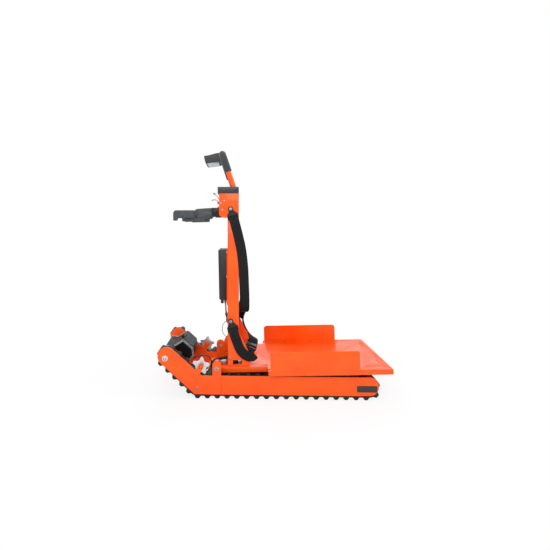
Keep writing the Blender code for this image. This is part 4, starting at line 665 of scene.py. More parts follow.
def tube_rings(path, radii, sides=24):
    """Rings round a path, carried along without twist."""
    tangents = directions(path)
    side = tangents[0].orthogonal().normalized()
    angles = [2 * math.pi * k / sides for k in range(sides)]
    rings = []
    for point, tangent, radius in zip(path, tangents, radii):
        side = (side - tangent * side.dot(tangent)).normalized()
        other = tangent.cross(side)
        rings.append([point + (side * math.cos(a) + other * math.sin(a)) * radius for a in angles])
    return rings


def round_tube(name, path, radius, edge=0.0, sides=24):
    """A tube with rounded ends: edge is the radius of the rounding."""
    path = [Vector(point) for point in path]
    radii = [radius] * len(path)
    if edge:
        turns = [math.radians(a) for a in (0, 25, 50, 75)]
        first = (path[1] - path[0]).normalized()
        last = (path[-1] - path[-2]).normalized()
        heads = [path[0] + first * edge * (1 - math.cos(a)) for a in turns]
        tails = [path[-1] - last * edge * (1 - math.cos(a)) for a in reversed(turns)]
        ends = [radius - edge + edge * math.sin(a) for a in turns]
        path = heads + [path[0] + first * edge] + path[1:-1] + [path[-1] - last * edge] + tails
        radii = ends + [radius] * (len(path) - 2 * len(ends)) + ends[::-1]
    return skin(name, tube_rings(path, radii, sides))


# %% [markdown]
# ## Handlebar and foam grips
# The handlebar is one bent steel tube: two legs that slide in the uprights, a slope towards
# the operator and a crossbar. A mandrel bend has an even radius, so the path is straight runs
# and true arcs. The foam sleeves are pulled over the bends, and their cut ends are softly
# rounded.

# %% Handlebar and foam grips
BAR_X, BAR_Y, BAR_RADIUS = -0.195, 0.166, 0.014
BAR_FOOT_Z, BAR_BEND_Z = 0.780, 1.072
BAR_TOP_X, BAR_TOP_Z = -0.2535, 1.245
BAR_CORNER, BAR_BEND = 0.040, 0.020
FOAM_RADIUS, FOAM_SHARE, FOAM_END_Y, FOAM_EDGE = 0.019, 0.439, 0.085, 0.0022


def bar_points(side):
    return [Vector((BAR_X, side * BAR_Y, BAR_FOOT_Z)), Vector((BAR_X, side * BAR_Y, BAR_BEND_Z)),
            Vector((BAR_TOP_X, side * BAR_Y, BAR_TOP_Z))]


near_foot, near_bend, near_top = bar_points(-1)
far_foot, far_bend, far_top = bar_points(1)
path = [near_foot]
path += round_corner(near_foot, near_bend, near_top, BAR_BEND)
path += round_corner(near_bend, near_top, far_top, BAR_CORNER)
path += round_corner(near_top, far_top, far_bend, BAR_CORNER)
path += round_corner(far_top, far_bend, far_foot, BAR_BEND)
path += [far_foot]
bar = round_tube("handlebar_tube", path, BAR_RADIUS, 0.001, 32)
stand_in(bar, orange_powder_coat, "upper_handlebar")

for name, side in SIDES:
    _, bend, top = bar_points(side)
    start = bend.lerp(top, FOAM_SHARE)
    end = Vector((BAR_TOP_X, side * FOAM_END_Y, BAR_TOP_Z))
    path = [start] + round_corner(start, top, end, BAR_CORNER, 16) + [end]
    foam = round_tube(name + "_foam_sleeve", path, FOAM_RADIUS, FOAM_EDGE, 32)
    stand_in(foam, handle_foam, name + "_foam_grip")
print("handlebar of", len(bar.data.vertices), "points")

# %% [markdown]
# ## Belts
# Two webbing belts hold the load against the mast. A belt is a flat weave with rounded
# selvedges, and it turns its width as it passes round the posts. Each station of a route is a
# point and the direction of the belt's width; a soft curve joins the stations. A cloth
# simulation could drape it, but the photo shows its line, so the stations are placed one by one.
# The UV map is laid out in millimetres, so that the weave runs true round every bend.

# %% Ribbon helper
WEBBING_WIDTH, WEBBING_THICK = 0.050, 0.0024
SELVEDGE_TURN, SECTION_CELLS = 0.8, 8


def selvedge_section(width, thick):
    """Points round the flat weave: (across, out), with round edges."""
    flat = width / 2 - thick / 2
    top = [(flat * (2 * k / SECTION_CELLS - 1), thick / 2) for k in range(SECTION_CELLS + 1)]
    right = [(flat + thick / 2 * math.cos(a), thick / 2 * math.sin(a))
             for a in (SELVEDGE_TURN, 0, -SELVEDGE_TURN)]
    return top + right + [(-x, -y) for x, y in top] + [(-x, -y) for x, y in right]


def ribbon(name, stations, width=WEBBING_WIDTH, thick=WEBBING_THICK, steps=8):
    """Webbing through stations, each a point and the direction of its width."""
    path = smooth_path([point for point, _ in stations], steps)
    widths = smooth_path([across for _, across in stations], steps)
    section = selvedge_section(width, thick)
    rings = []
    flat = []
    along = 0.0
    for i, (point, tangent, across) in enumerate(zip(path, directions(path), widths)):
        across = (across - tangent * across.dot(tangent)).normalized()
        out = tangent.cross(across).normalized()
        if i:
            along += (point - path[i - 1]).length
        rings.append([point + across * a + out * b for a, b in section])
        flat += [(a / MM, along / MM) for a, _ in section]
    made = skin(name, rings, flat)
    made["length_mm"] = round(along / MM, 1)
    return made


# %% [markdown]
# ### Routes of the belts
# Each belt end comes out of the slot of its steel fitting and over the lower bar of it. The
# upper belt hangs in a loop in front of the mast. The lower belt is in two parts: from the
# near fitting round the post to the ratchet, and from the ratchet across to the far fitting.

# %% Belt routes
SLOT_START, SLOT_END = 0.034, 0.042
FITTING_FACE, FITTING_THICK = 0.1893, 0.003
FITTINGS = {
    "near_upper": (-1, UPPER_BOLT, math.radians(-72)),
    "far_upper": (1, UPPER_BOLT, math.radians(-72)),
    "near_lower": (-1, LOWER_BOLT, math.radians(-74)),
    "far_lower": (1, LOWER_BOLT, math.radians(-38)),
}


def at_fitting(name, u, height):
    """A point along a fitting from its bolt, at a distance from the machine's middle plane."""
    side, anchor, lean = FITTINGS[name]
    return Vector((anchor[0] + u * math.cos(lean), side * height, anchor[1] + u * math.sin(lean)))


def across_fitting(name):
    lean = FITTINGS[name][2]
    return Vector((-math.sin(lean), 0, math.cos(lean)))


def strap_start(name):
    """The stations from the slot of a fitting over its lower bar, a little clear of the steel."""
    top = FITTING_FACE + FITTING_THICK
    half = WEBBING_THICK / 2
    heights = [(SLOT_START + 0.0015, FITTING_FACE + half + 0.0008),
               (SLOT_START + 0.0040, FITTING_FACE + half + 0.0016),
               (SLOT_END + 0.0005, top + half + 0.0012), (SLOT_END + 0.010, top + half + 0.0005),
               (SLOT_END + 0.022, top + half + 0.0003)]
    return [(at_fitting(name, u, height), across_fitting(name)) for u, height in heights]


UPPER_STATIONS = ((-0.1700, 0.1925, 0.820), (-0.1530, 0.1900, 0.742), (-0.1425, 0.1870, 0.650),
                  (-0.1385, 0.1826, 0.560), (-0.1360, 0.1730, 0.485), (-0.1365, 0.1500, 0.430),
                  (-0.1440, 0.1050, 0.408), (-0.1470, 0.0500, 0.402))


def upper_side(name):
    side = FITTINGS[name][0]
    return strap_start(name) + [((x, side * y, z), (1, 0, 0)) for x, y, z in UPPER_STATIONS]


RATCHET_TURN = math.radians(20)
ratchet_across = Vector((math.cos(RATCHET_TURN), 0, -math.sin(RATCHET_TURN)))
ratchet_along = Vector((0.291, 0.527, 0.799)).normalized()
ratchet_out = ratchet_along.cross(ratchet_across).normalized()
RATCHET = Vector((-0.1000, -0.1180, 0.2310))
BELT_LEVEL = -0.0071


def ratchet_view(u, v, w):
    """Along the webbing, out of it and across it."""
    return RATCHET + ratchet_along * u + ratchet_out * v + ratchet_across * w


near_stations = strap_start("near_lower")
near_stations += [((-0.1760, -0.1945, 0.2730), (0.94, 0, 0.34)),
                  ((-0.1580, -0.1950, 0.2320), (0.85, 0, 0.53)),
                  ((-0.1370, -0.1960, 0.2080), (0.57, 0, 0.82)),
                  ((-0.1160, -0.1965, 0.1975), (0.14, 0, 0.99)),
                  ((-0.0985, -0.1940, 0.1970), (-0.25, 0, 0.97)),
                  ((-0.0880, -0.1820, 0.1990), (-0.50, -0.1, 0.86)),
                  ((-0.0860, -0.1690, 0.2030), (-0.70, -0.05, 0.70))]
near_stations += [(ratchet_view(u, v, 0), -ratchet_across)
                  for u, v in ((-0.044, -0.0125), (-0.033, -0.0090),
                               (-0.022, BELT_LEVEL), (-0.012, BELT_LEVEL))]
far_stations = [(ratchet_view(u, BELT_LEVEL, 0), -ratchet_across) for u in (0.012, 0.022, 0.034)]
far_stations += [((-0.1060, -0.0680, 0.2800), (-0.72, 0, 0.70)),
                 ((-0.1260, -0.0100, 0.2960), (-0.38, 0, 0.92)),
                 ((-0.1380, 0.0600, 0.3100), (-0.10, 0, 0.99)),
                 ((-0.1400, 0.1250, 0.3190), (0.20, 0, 0.98)),
                 ((-0.1370, 0.1850, 0.3240), (0.45, 0, 0.88)),
                 ((-0.1430, 0.1945, 0.3265), (0.62, 0, 0.78))]
far_stations += strap_start("far_lower")[::-1]

BELTS = {"upper_belt": upper_side("near_upper") + upper_side("far_upper")[::-1],
         "near_lower_belt": near_stations, "far_lower_belt": far_stations}
for name, stations in BELTS.items():
    belt = ribbon(name + "_webbing", stations)
    stand_in(belt, webbing, name)
    print(name, "is", belt["length_mm"], "mm long")

# %% [markdown]
# ### Sewn ends
# Behind each fitting the webbing is folded back on itself and sewn down. The fold's tail lies
# on the front of the belt for about 60 mm, and a box of thread with a cross in it holds it.
# The tail is a second short ribbon, lifted by the thickness of the weave, and the fold itself
# fills the slot of the fitting.

# %% Sewn tails
TAIL_START_MM, TAIL_END_MM, TAIL_STEP_MM = 2.0, 61.5, 3.0
TAIL_THICK, TAIL_LIFT = 0.0022, 0.0026
FOLD_WIDTH, FOLD_THICK, FOLD_LIFT = 0.0494, 0.0008, 0.0007
starts = {"near_upper": BELTS["upper_belt"], "far_upper": BELTS["upper_belt"][::-1],
          "near_lower": near_stations, "far_lower": far_stations[::-1]}
tails = {}
for name, (side, _, _) in FITTINGS.items():
    path = smooth_path([point for point, _ in starts[name][:8]], 12)
    widths = smooth_path([across for _, across in starts[name][:8]], 12)
    run = 0.0
    picked = []
    for i in range(1, len(path)):
        run += (path[i] - path[i - 1]).length / MM
        first = not picked and run > TAIL_START_MM
        later = picked and run - picked[-1][0] > TAIL_STEP_MM and run < TAIL_END_MM
        if first or later:
            picked.append((run, path[i], widths[i]))
    outward = Vector((0, side, 0)) * TAIL_LIFT
    tails[name] = [(point + outward, across) for _, point, across in picked]
    trim(ribbon("sewn_tail_" + name, tails[name], WEBBING_WIDTH - 0.0006, TAIL_THICK, 2),
         webbing, "platform")
    fold = [(at_fitting(name, u, FITTING_FACE + FOLD_LIFT), across_fitting(name))
            for u in (SLOT_START + 0.0003, (SLOT_START + SLOT_END) / 2, SLOT_END - 0.0003)]
    trim(ribbon("folded_under_" + name, fold, FOLD_WIDTH, FOLD_THICK, 2), webbing, "platform")
print("sewn tails from", TAIL_START_MM, "to", TAIL_END_MM, "mm")

# %% [markdown]
# ## Small repeated things with Geometry Nodes
# Stitches, screws and hose ribs repeat by a rule, so each kind gets one small node tree. A
# tree takes a plain guide mesh, such as a line or a point for each screw, and its sizes are
# named inputs. The result is turned into a plain mesh, because a modifier that makes new
# geometry wouldn't survive the export.


# %% Geometry Nodes helpers
def geometry_tree(name, sizes):
    """A tree with a geometry input and output, and a named input for each size."""
    tree = bpy.data.node_groups.new(name, "GeometryNodeTree")
    tree.interface.new_socket("Geometry", in_out="INPUT", socket_type="NodeSocketGeometry")
    for label, value in sizes.items():
        kind = "NodeSocketInt" if isinstance(value, int) else "NodeSocketFloat"
        socket = tree.interface.new_socket(label, in_out="INPUT", socket_type=kind)
        socket.default_value = value
    tree.interface.new_socket("Material", in_out="INPUT", socket_type="NodeSocketMaterial")
    tree.interface.new_socket("Geometry", in_out="OUTPUT", socket_type="NodeSocketGeometry")
    return tree, add(tree, "NodeGroupInput").outputs


def close_tree(tree, given, instances):
    """Ends a tree: real geometry with its material."""
    real = add(tree, "GeometryNodeRealizeInstances", {"Geometry": instances})
    painted = add(tree, "GeometryNodeSetMaterial", {"Geometry": real.outputs[0],
                                                    "Material": given["Material"]})
    add(tree, "NodeGroupOutput", {"Geometry": painted.outputs[0]})


def grow(name, tree, guide, body, material, slot_of, **sizes):
    """Runs a tree on a guide mesh and keeps the result as a plain piece on a body."""
    source = bpy.data.objects.new(name + "_guide", guide)
    scene.collection.objects.link(source)
    modifier = source.modifiers.new("grow", "NODES")
    modifier.node_group = tree
    values = {label.replace("_", " ").capitalize(): value for label, value in sizes.items()}
    values["Material"] = material
    for item in tree.interface.items_tree:
        if item.in_out == "INPUT" and item.name in values:
            modifier[item.identifier] = values[item.name]
    grown = source.evaluated_get(bpy.context.evaluated_depsgraph_get())
    mesh = bpy.data.meshes.new_from_object(grown)
    mesh.name = name
    bpy.data.objects.remove(source, do_unlink=True)
    made = bpy.data.objects.new(name, mesh)
    scene.collection.objects.link(made)
    if body:
        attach(made, body)
    print(name, len(mesh.polygons), "faces")
    return made


def guide_lines(name, lines):
    """A mesh of open polylines."""
    points = [point for line in lines for point in line]
    edges = []
    start = 0
    for line in lines:
        edges += [(start + i, start + i + 1) for i in range(len(line) - 1)]
        start += len(line)
    mesh = bpy.data.meshes.new(name)
    mesh.from_pydata(points, edges, [])
    return mesh


def guide_points(name, places):
    """A mesh of loose points, each with the direction that its screw faces."""
    mesh = bpy.data.meshes.new(name)
    mesh.from_pydata([point for point, _ in places], [], [])
    out = mesh.attributes.new("out", "FLOAT_VECTOR", "POINT")
    for i, (_, direction) in enumerate(places):
        out.data[i].vector = direction
    return mesh


# %% [markdown]
# ### Stitches
# Bonded polyester thread, about 0.9 mm thick, with a stitch every 3.5 mm. The thread is dark
# too, and it shows by the light on each stitch. A stitch is a small ball drawn out along the
# line. A bump could draw it on the weave, but real stitches stay true at a low angle.

# %% Stitch tree and seams
stitch_tree, given = geometry_tree("stitches", {"Pitch": 3.5 * MM, "Length": 2.6 * MM,
                                                "Thickness": 0.9 * MM})
line = add(stitch_tree, "GeometryNodeMeshToCurve", {"Mesh": given["Geometry"]})
spaced = add(stitch_tree, "GeometryNodeResampleCurve", {"Curve": line.outputs[0],
                                                        "Length": given["Pitch"]}, mode="LENGTH")
ball = add(stitch_tree, "GeometryNodeMeshUVSphere", {"Segments": 6, "Rings": 4, "Radius": 0.5})
along = add(stitch_tree, "GeometryNodeInputTangent")
turn = add(stitch_tree, "FunctionNodeAlignRotationToVector", {"Vector": along.outputs[0]}, axis="X")
size = add(stitch_tree, "ShaderNodeCombineXYZ", {"X": given["Length"], "Y": given["Thickness"],
                                                 "Z": given["Thickness"]})
placed = add(stitch_tree, "GeometryNodeInstanceOnPoints",
             {"Points": spaced.outputs[0], "Instance": ball.outputs["Mesh"],
              "Rotation": turn.outputs[0], "Scale": size.outputs[0]})
close_tree(stitch_tree, given, placed.outputs[0])

thread = moulded_plastic("bonded_polyester_thread", "#2E3335", "#3C4245", 0.55, 0.5, 0.01)


SEAM_START_MM, SEAM_END_MM, SEAM_HALF_MM, SEAM_STEPS = 13, 52, 19, 14
STITCH_LIFT = 0.0013


def seam_points(stations, across_mm, run_mm):
    """Points on a tail, by millimetres from its middle and along it."""
    path = smooth_path([point for point, _ in stations], 4)
    widths = smooth_path([across for _, across in stations], 4)
    runs = [0.0]
    for a, b in zip(path, path[1:]):
        runs.append(runs[-1] + (b - a).length / MM)
    found = []
    for across, run in zip(across_mm, run_mm):
        i = min(range(len(runs)), key=lambda k: abs(runs[k] - run))
        out = Vector((0, 1 if path[i].y > 0 else -1, 0))
        found.append(path[i] + widths[i].normalized() * across * MM + out * STITCH_LIFT)
    return found


shares = [k / SEAM_STEPS for k in range(SEAM_STEPS + 1)]
runs = [SEAM_START_MM + (SEAM_END_MM - SEAM_START_MM) * t for t in shares]
sweep = [SEAM_HALF_MM * (2 * t - 1) for t in shares]
seams = [([SEAM_HALF_MM] * len(shares), runs), ([-SEAM_HALF_MM] * len(shares), runs), (sweep, runs),
         ([-across for across in sweep], runs), (sweep, [SEAM_START_MM] * len(shares)),
         (sweep, [SEAM_END_MM] * len(shares))]
lines = [seam_points(stations, *seam) for stations in tails.values() for seam in seams]
grow("belt_stitches", stitch_tree, guide_lines("seams", lines), "platform", thread, "upper_belt")

# %% [markdown]
# ### Screw heads and painted socket shade
# The screws that hold the deck, the cap and the battery tray are button heads of 3 to 4 mm
# radius, and each is a low cone. The bolts of the side plate and of the belt fittings are in
# the imported model; the shade in the key socket in their middle is painted as a flat dark
# hexagon. Each of these is a point with the direction that it faces, and one tree sets the
# cones on the points.

# %% Screw tree
screw_tree, given = geometry_tree("screws", {"Radius": 4 * MM, "Top radius": 2.5 * MM,
                                             "Height": 2 * MM, "Sides": 20})
head = add(screw_tree, "GeometryNodeMeshCone", {"Vertices": given["Sides"],
                                                "Radius Bottom": given["Radius"],
                                                "Radius Top": given["Top radius"],
                                                "Depth": given["Height"]})
facing = add(screw_tree, "GeometryNodeInputNamedAttribute", {"Name": "out"}, data_type="FLOAT_VECTOR")
turn = add(screw_tree, "FunctionNodeAlignRotationToVector", {"Vector": facing.outputs["Attribute"]},
           axis="Z")
placed = add(screw_tree, "GeometryNodeInstanceOnPoints",
             {"Points": given["Geometry"], "Instance": head.outputs["Mesh"],
              "Rotation": turn.outputs[0]})
close_tree(screw_tree, given, placed.outputs[0])

# %% Screws and painted socket shade on each body
DECK_LEAN = math.radians(1.4)
DECK_UP = (-math.sin(DECK_LEAN), 0, math.cos(DECK_LEAN))
BOLT_HEAD_Y, FITTING_BOLT_Y, CAP_SCREW_Y = 0.2567, 0.1975, 0.1908
TRAY_SCREW = (-0.2283, 0.166)
DECK_SCREW_Y, DECK_SCREW_UP = 0.246, -0.0092


def on_deck(u, y, v):
    """A point by its distance along the deck from the pivot and its height over it."""
    return (PIVOT[0] + u * math.cos(DECK_LEAN) - v * math.sin(DECK_LEAN), y,
            PIVOT[1] + u * math.sin(DECK_LEAN) + v * math.cos(DECK_LEAN))


def screws(name, places, body, material, slot_of, **sizes):
    grow(name, screw_tree, guide_points(name + "_guide", places), body, material, slot_of, **sizes)


tray = [((TRAY_SCREW[0], side * TRAY_SCREW[1], z), (-1, 0, 0)) for _, side in SIDES
        for z in (0.475, 0.602, 0.730)]
deck = [(on_deck(u, side * DECK_SCREW_Y, DECK_SCREW_UP), DECK_UP) for _, side in SIDES
        for u in (0.263, 0.394, 0.552, 0.709)]
cap = [((x, side * CAP_SCREW_Y, 1.0520), (0, side, 0)) for _, side in SIDES for x in (-0.262, -0.180)]
bolts = [((x, side * FITTING_BOLT_Y, z), (0, side, 0)) for _, side in SIDES
         for x, z in (UPPER_BOLT, LOWER_BOLT)]
plates = [((x, -BOLT_HEAD_Y, z), (0, -1, 0)) for x, z in (PIVOT, CORNER_AXLE)]
screws("tray_screws", tray, "platform", zinc_plated_steel, "battery_tray", radius=4.2 * MM,
       height=2.6 * MM)
screws("deck_screws", deck, "platform", black_oxide_steel, "deck_frame", radius=4.0 * MM,
       top_radius=2.6 * MM, height=2.2 * MM)
screws("cap_screws", cap, "platform", black_oxide_steel, "control_box_cap", radius=3.2 * MM,
       top_radius=2.2 * MM, height=1.4 * MM)
# Flat dark hexagons on the bolt heads: painted shade of the key sockets
screws("chassis_socket_shade", plates, "chassis", black_oxide_steel, "near_star_bracket",
       radius=3.0 * MM, top_radius=2.9 * MM, height=0.5 * MM, sides=6)
screws("fitting_socket_shade", bolts, "platform", black_oxide_steel, "mast_frame", radius=2.6 * MM,
       top_radius=2.5 * MM, height=0.5 * MM, sides=6)

# %% [markdown]
# ### Corrugated conduit
# The cables of the motor run to the mast in a black corrugated hose, 17 mm thick with a rib
# every 4 mm. Its shape follows a rule: the radius is a wave along the route. A Geometry Nodes
# tree resamples the route, sets the radius by a sine and sweeps a circle. The hose crosses the
# deck's pivot.

# %% Conduit tree and hose
hose_tree, given = geometry_tree("corrugated_hose", {"Radius": 7.9 * MM, "Rib height": 0.6 * MM,
                                                     "Rib pitch": 4.0 * MM, "Step": 0.5 * MM})
line = add(hose_tree, "GeometryNodeMeshToCurve", {"Mesh": given["Geometry"]})
fine = add(hose_tree, "GeometryNodeResampleCurve", {"Curve": line.outputs[0],
                                                    "Length": given["Step"]}, mode="LENGTH")
run = add(hose_tree, "GeometryNodeSplineParameter").outputs["Length"]
turns = add(hose_tree, "ShaderNodeMath", {0: run, 1: given["Rib pitch"]}, operation="DIVIDE")
angle = add(hose_tree, "ShaderNodeMath", {0: turns.outputs[0], 1: 2 * math.pi}, operation="MULTIPLY")
wave = add(hose_tree, "ShaderNodeMath", {0: angle.outputs[0]}, operation="SINE")
radius = add(hose_tree, "ShaderNodeMath", {0: wave.outputs[0], 1: given["Rib height"],
                                           2: given["Radius"]}, operation="MULTIPLY_ADD")
ring = add(hose_tree, "GeometryNodeCurvePrimitiveCircle", {"Resolution": 20, "Radius": 1.0})
body = add(hose_tree, "GeometryNodeCurveToMesh", {"Curve": fine.outputs[0],
                                                  "Profile Curve": ring.outputs[0],
                                                  "Scale": radius.outputs[0], "Fill Caps": True})
smooth = add(hose_tree, "GeometryNodeSetShadeSmooth", {"Geometry": body.outputs[0]})
close_tree(hose_tree, given, smooth.outputs[0])

CONDUIT_Y = -0.060
CONDUIT = [(x, CONDUIT_Y, z) for x, z in ((-0.3180, 0.0885), (-0.3180, 0.0980), (-0.3040, 0.1270),
                                          (-0.2740, 0.1410), (-0.2400, 0.1470), (-0.2140, 0.1620),
                                          (-0.2060, 0.1880), (-0.2060, 0.1995))]
hose = grow("corrugated_conduit", hose_tree, guide_lines("conduit_route", [smooth_path(CONDUIT)]),
            None, cable_pvc, "conduit")
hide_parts("conduit")
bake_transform(hose)

# %% [markdown]
# ## Cables
# The motor cable leaves the gearbox and dives behind the cross channel. The battery cable
# hangs from the plug under the battery to the crosspiece. Both are round PVC jackets; a short
# ribbed boot takes the strain at the plug, and two joints, a thin silver wire, a loose loop of
# wire and a second plug are beside it. The boot, the joints and the plug are turned shapes: a
# profile spun round an axis.

# %% Cables and the plug
INCLINE = math.atan2(NOSE[1] - CORNER_AXLE[1], CORNER_AXLE[0] - NOSE[0])


def on_incline(u, v, w):
    """Along the incline from the drive axle, square to it, and across the machine."""
    return Vector((NOSE[0] + u * math.cos(INCLINE) + v * math.sin(INCLINE), w,
                   NOSE[1] - u * math.sin(INCLINE) + v * math.cos(INCLINE)))


MOTOR_CABLE_Y = -0.085
MOTOR_CABLE_END_Y = -0.089
route = [on_incline(0.1183, 0.048, MOTOR_CABLE_Y)]
route += smooth_path([on_incline(0.126, 0.048, MOTOR_CABLE_Y), (-0.380, MOTOR_CABLE_Y, 0.1620),
                      (-0.345, -0.087, 0.1680), (-0.319, MOTOR_CABLE_END_Y, 0.150),
                      (-0.315, MOTOR_CABLE_END_Y, 0.120), (-0.316, MOTOR_CABLE_END_Y, 0.096)])
route += [Vector((-0.316, MOTOR_CABLE_END_Y, 0.0885))]
stand_in(round_tube("motor_lead", route, 0.003, sides=16), cable_pvc, "motor_cable")

MAST_CABLE_Y = -0.070
route = [Vector((-0.2390, MAST_CABLE_Y, 0.4659))]
route += smooth_path([(x, MAST_CABLE_Y, z) for x, z in (
    (-0.2390, 0.4565), (-0.2370, 0.420), (-0.2300, 0.360), (-0.2160, 0.310), (-0.2080, 0.285),
    (-0.2080, 0.269))])
route += [Vector((-0.2080, MAST_CABLE_Y, 0.2605))]
stand_in(round_tube("battery_lead", route, 0.004, sides=16), cable_pvc, "mast_cable")


CORE, LEAST_RADIUS = 0.0002, 0.00005


def lathe(name, profile, base, axis, sides=32):
    """A turned shape: profile is (radius, height) from the base along the axis."""
    axis = Vector(axis).normalized()
    side = axis.orthogonal().normalized()
    other = axis.cross(side)
    angles = [2 * math.pi * k / sides for k in range(sides)]
    rings = [[Vector(base) + axis * h + (side * math.cos(a) + other * math.sin(a)) * max(r, LEAST_RADIUS)
              for a in angles] for r, h in profile]
    return skin(name, rings)


trim(lathe("battery_plug_boot", [(0.0075, 0), (0.0080, 0.001), (0.0080, 0.010), (0.0065, 0.011),
                                 (0.0065, 0.013), (0.0058, 0.014), (0.0058, 0.016), (0.0050, 0.017),
                                 (0.0050, 0.021), (0.0042, 0.023)],
           (-0.2390, MAST_CABLE_Y, 0.4660), (0, 0, -1)), cable_pvc, "platform")
for label, points, radius, material in (
        ("silver_wire", [(-0.2420, -0.078, 0.4655), (-0.2400, -0.079, 0.446), (-0.2360, -0.079, 0.425),
                         (-0.2320, -0.076, 0.405)], 0.0011, zinc_plated_steel),
        ("wire_loop", [(-0.2290, -0.0740, 0.352), (-0.2410, -0.092, 0.350), (-0.2530, -0.100, 0.332),
                       (-0.2540, -0.100, 0.306), (-0.2470, -0.094, 0.284), (-0.2330, -0.086, 0.270),
                       (-0.2180, -0.0745, 0.2900)], 0.0015, cable_pvc)):
    trim(round_tube(label, smooth_path(points), radius, sides=10), material, "platform")
trim(lathe("charging_plug", [(CORE, 0), (0.0070, 0), (0.0080, 0.001), (0.0080, 0.016),
                             (0.0065, 0.018), (CORE, 0.018)],
           (-0.2560, -0.078, 0.4655), (0, 0, -1), 24), cable_pvc, "platform")
for k, (x, z) in enumerate(((-0.2330, 0.385), (-0.2280, 0.352))):
    trim(lathe("cable_joint_%d" % k, [(0.0042, -0.011), (0.0068, -0.009), (0.0072, 0),
                                      (0.0068, 0.009), (0.0042, 0.011)],
               (x, MAST_CABLE_Y, z), (-0.2, 0, 1)), cable_pvc, "platform")

# %% [markdown]
# ### Painted highlights on the gearbox edges
# The edges of the black gearbox covers show as light lines, which are painted highlights. Painting them
# into the finish would need an edge mask, so each line is a thin rounded wire in a light alloy that
# lies on the edge. The star bracket and the shaft end get the rings and caps of their bolts as thin discs.

# %% Painted edge highlights and end rings
HIGHLIGHT_WIRE_RADIUS = 0.0015
HIGHLIGHT_WIRE_CORNER = 0.004
COVER_FACE, HOUSING_FACE = 0.101, 0.095
BRACKET_FACE = -0.2619
cover_edge = [(-0.022, -0.010), (-0.022, 0.002), (0.004, 0.019), (0.022, 0.082), (0.086, 0.082),
              (0.113, 0.057), (0.113, -0.010)]
housing_edge = [(-0.027, -0.014), (-0.027, 0.004), (0.0, 0.022), (0.0192, 0.087), (0.088, 0.087),
                (0.118, 0.060), (0.118, -0.014)]
# Light grey alloy: the painted highlights along the black cover edges
painted_highlight_alloy = cast_paint("painted_highlight_alloy", "#B9BDBF", "#D9DCDD", 0.40, 0.4)


def highlight_wire(name, outline, w):
    """A light wire, a painted highlight, along an outline of the gearbox, at a distance across the
    machine.
    """
    corners = [on_incline(u, v, w) for u, v in outline]
    route = [corners[0]]
    for before, corner, after in zip(corners, corners[1:], corners[2:]):
        route += round_corner(before, corner, after, HIGHLIGHT_WIRE_CORNER, 5)
    wire = round_tube(name, route + [corners[-1]], HIGHLIGHT_WIRE_RADIUS, sides=8)
    trim(wire, painted_highlight_alloy, "chassis")


for name, side in SIDES:
    highlight_wire(name + "_cover_edge", cover_edge, side * COVER_FACE)
    highlight_wire(name + "_housing_edge", housing_edge, side * HOUSING_FACE)

shaft = nodes["drive_shaft"]
star_spot = (STAR_AXLE[0], BRACKET_FACE, STAR_AXLE[1])
shaft_spot = (NOSE[0], min(vertex.co.y for vertex in shaft.data.vertices), NOSE[1])


def disc(radius, height):
    return [(CORE, 0), (radius, 0), (radius, height), (CORE, height)]


bolt_end = [(CORE, 0), (0.0050, 0), (0.0050, 0.0006), (0.0040, 0.0009), (CORE, 0.0010)]
for label, profile, spot, material, body, slot_of in (
        ("star_ring", disc(0.0084, 0.0004), star_spot, black_oxide_steel, "chassis",
         "near_star_bracket"),
        ("star_cap", disc(0.0071, 0.0009), star_spot, orange_powder_coat, "chassis",
         "near_star_bracket"),
        ("shaft_end_ring", disc(0.0066, 0.0004), shaft_spot, black_oxide_steel, shaft["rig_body"],
         "drive_shaft"),
        ("shaft_end_cap", bolt_end, shaft_spot, zinc_plated_steel, shaft["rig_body"], "drive_shaft")):
    trim(lathe(label, profile, spot, (0, -1, 0)), material, body)

# %% [markdown]
# ## Controls
# A thin joystick with a grey ball and a red mushroom button sit on the operator's face of the
# control box. All are turned shapes, so each is a profile spun round its axis, and the stick
# and its ball are one profile with two finishes. The knob on the inner bracket is a small
# turned handle in the frame's orange.

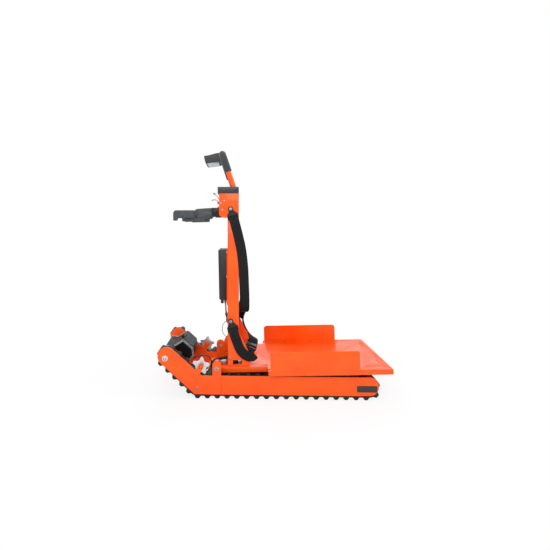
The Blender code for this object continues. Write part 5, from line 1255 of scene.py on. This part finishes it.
# %% Joystick, stop button and knob
BALL_RADIUS, BALL_HOLE = 0.0060, 0.0056
root = Vector(joint_at["joystick_push"])
tip = Vector((-0.3026, -0.040, 1.0445))
reach = (tip - root).length
axis = (tip - root).normalized()
ball_profile = [(BALL_RADIUS * math.sin(math.radians(a)), reach - BALL_RADIUS * math.cos(math.radians(a)))
                for a in range(25, 181, 15)]
stick_profile = [(CORE, -0.007), (0.0035, -0.0062), (0.0060, -0.003), (0.0070, 0),
                 (0.0064, 0.003), (0.0050, 0.0048), (0.0036, 0.0058), (0.0030, 0.0072),
                 (0.0022, 0.0082), (0.0022, reach - BALL_HOLE)]
stick = lathe("joystick_with_ball", stick_profile + ball_profile, root, tip - root)
stand_in(stick, zinc_plated_steel, "joystick")
stick.data.materials.append(knob_phenolic)
for face in stick.data.polygons:
    if (face.center - root).dot(axis) > reach - BALL_HOLE - 0.0002:
        face.material_index = 1

STOP_Y, STOP_Z = -0.100, 0.956
stop = lathe("stop_button", [(CORE, 0), (0.0080, 0), (0.0080, 0.0160), (0.0128, 0.0163),
                             (0.0142, 0.0168), (0.0149, 0.0178), (0.0150, 0.0205), (0.0148, 0.0222),
                             (0.0138, 0.0236), (0.0120, 0.0245), (0.0080, 0.0251), (0.0040, 0.0253),
                             (CORE, 0.0254)], (-0.257, STOP_Y, STOP_Z), (-1, 0, 0), 48)
stand_in(stop, red_gloss_plastic, "emergency_stop")
collar = lathe("stop_collar", [(0.0085, 0), (0.0165, 0), (0.0170, 0.0006), (0.0170, 0.0020),
                               (0.0160, 0.0026), (0.0085, 0.0026)],
               (-0.2681, STOP_Y, STOP_Z), (-1, 0, 0), 48)
trim(collar, zinc_plated_steel, "platform")
knob = lathe("bracket_knob", [(CORE, 0), (0.0045, 0), (0.0045, 0.006), (0.0066, 0.008),
                              (0.0070, 0.010), (0.0070, 0.016), (0.0062, 0.018), (0.0030, 0.0188),
                              (CORE, 0.019)], (-0.0807, -0.1725, 0.212), (0, -1, 0))
trim(knob, orange_powder_coat, "platform")
print("joystick reaches", round(reach / MM, 1), "mm")
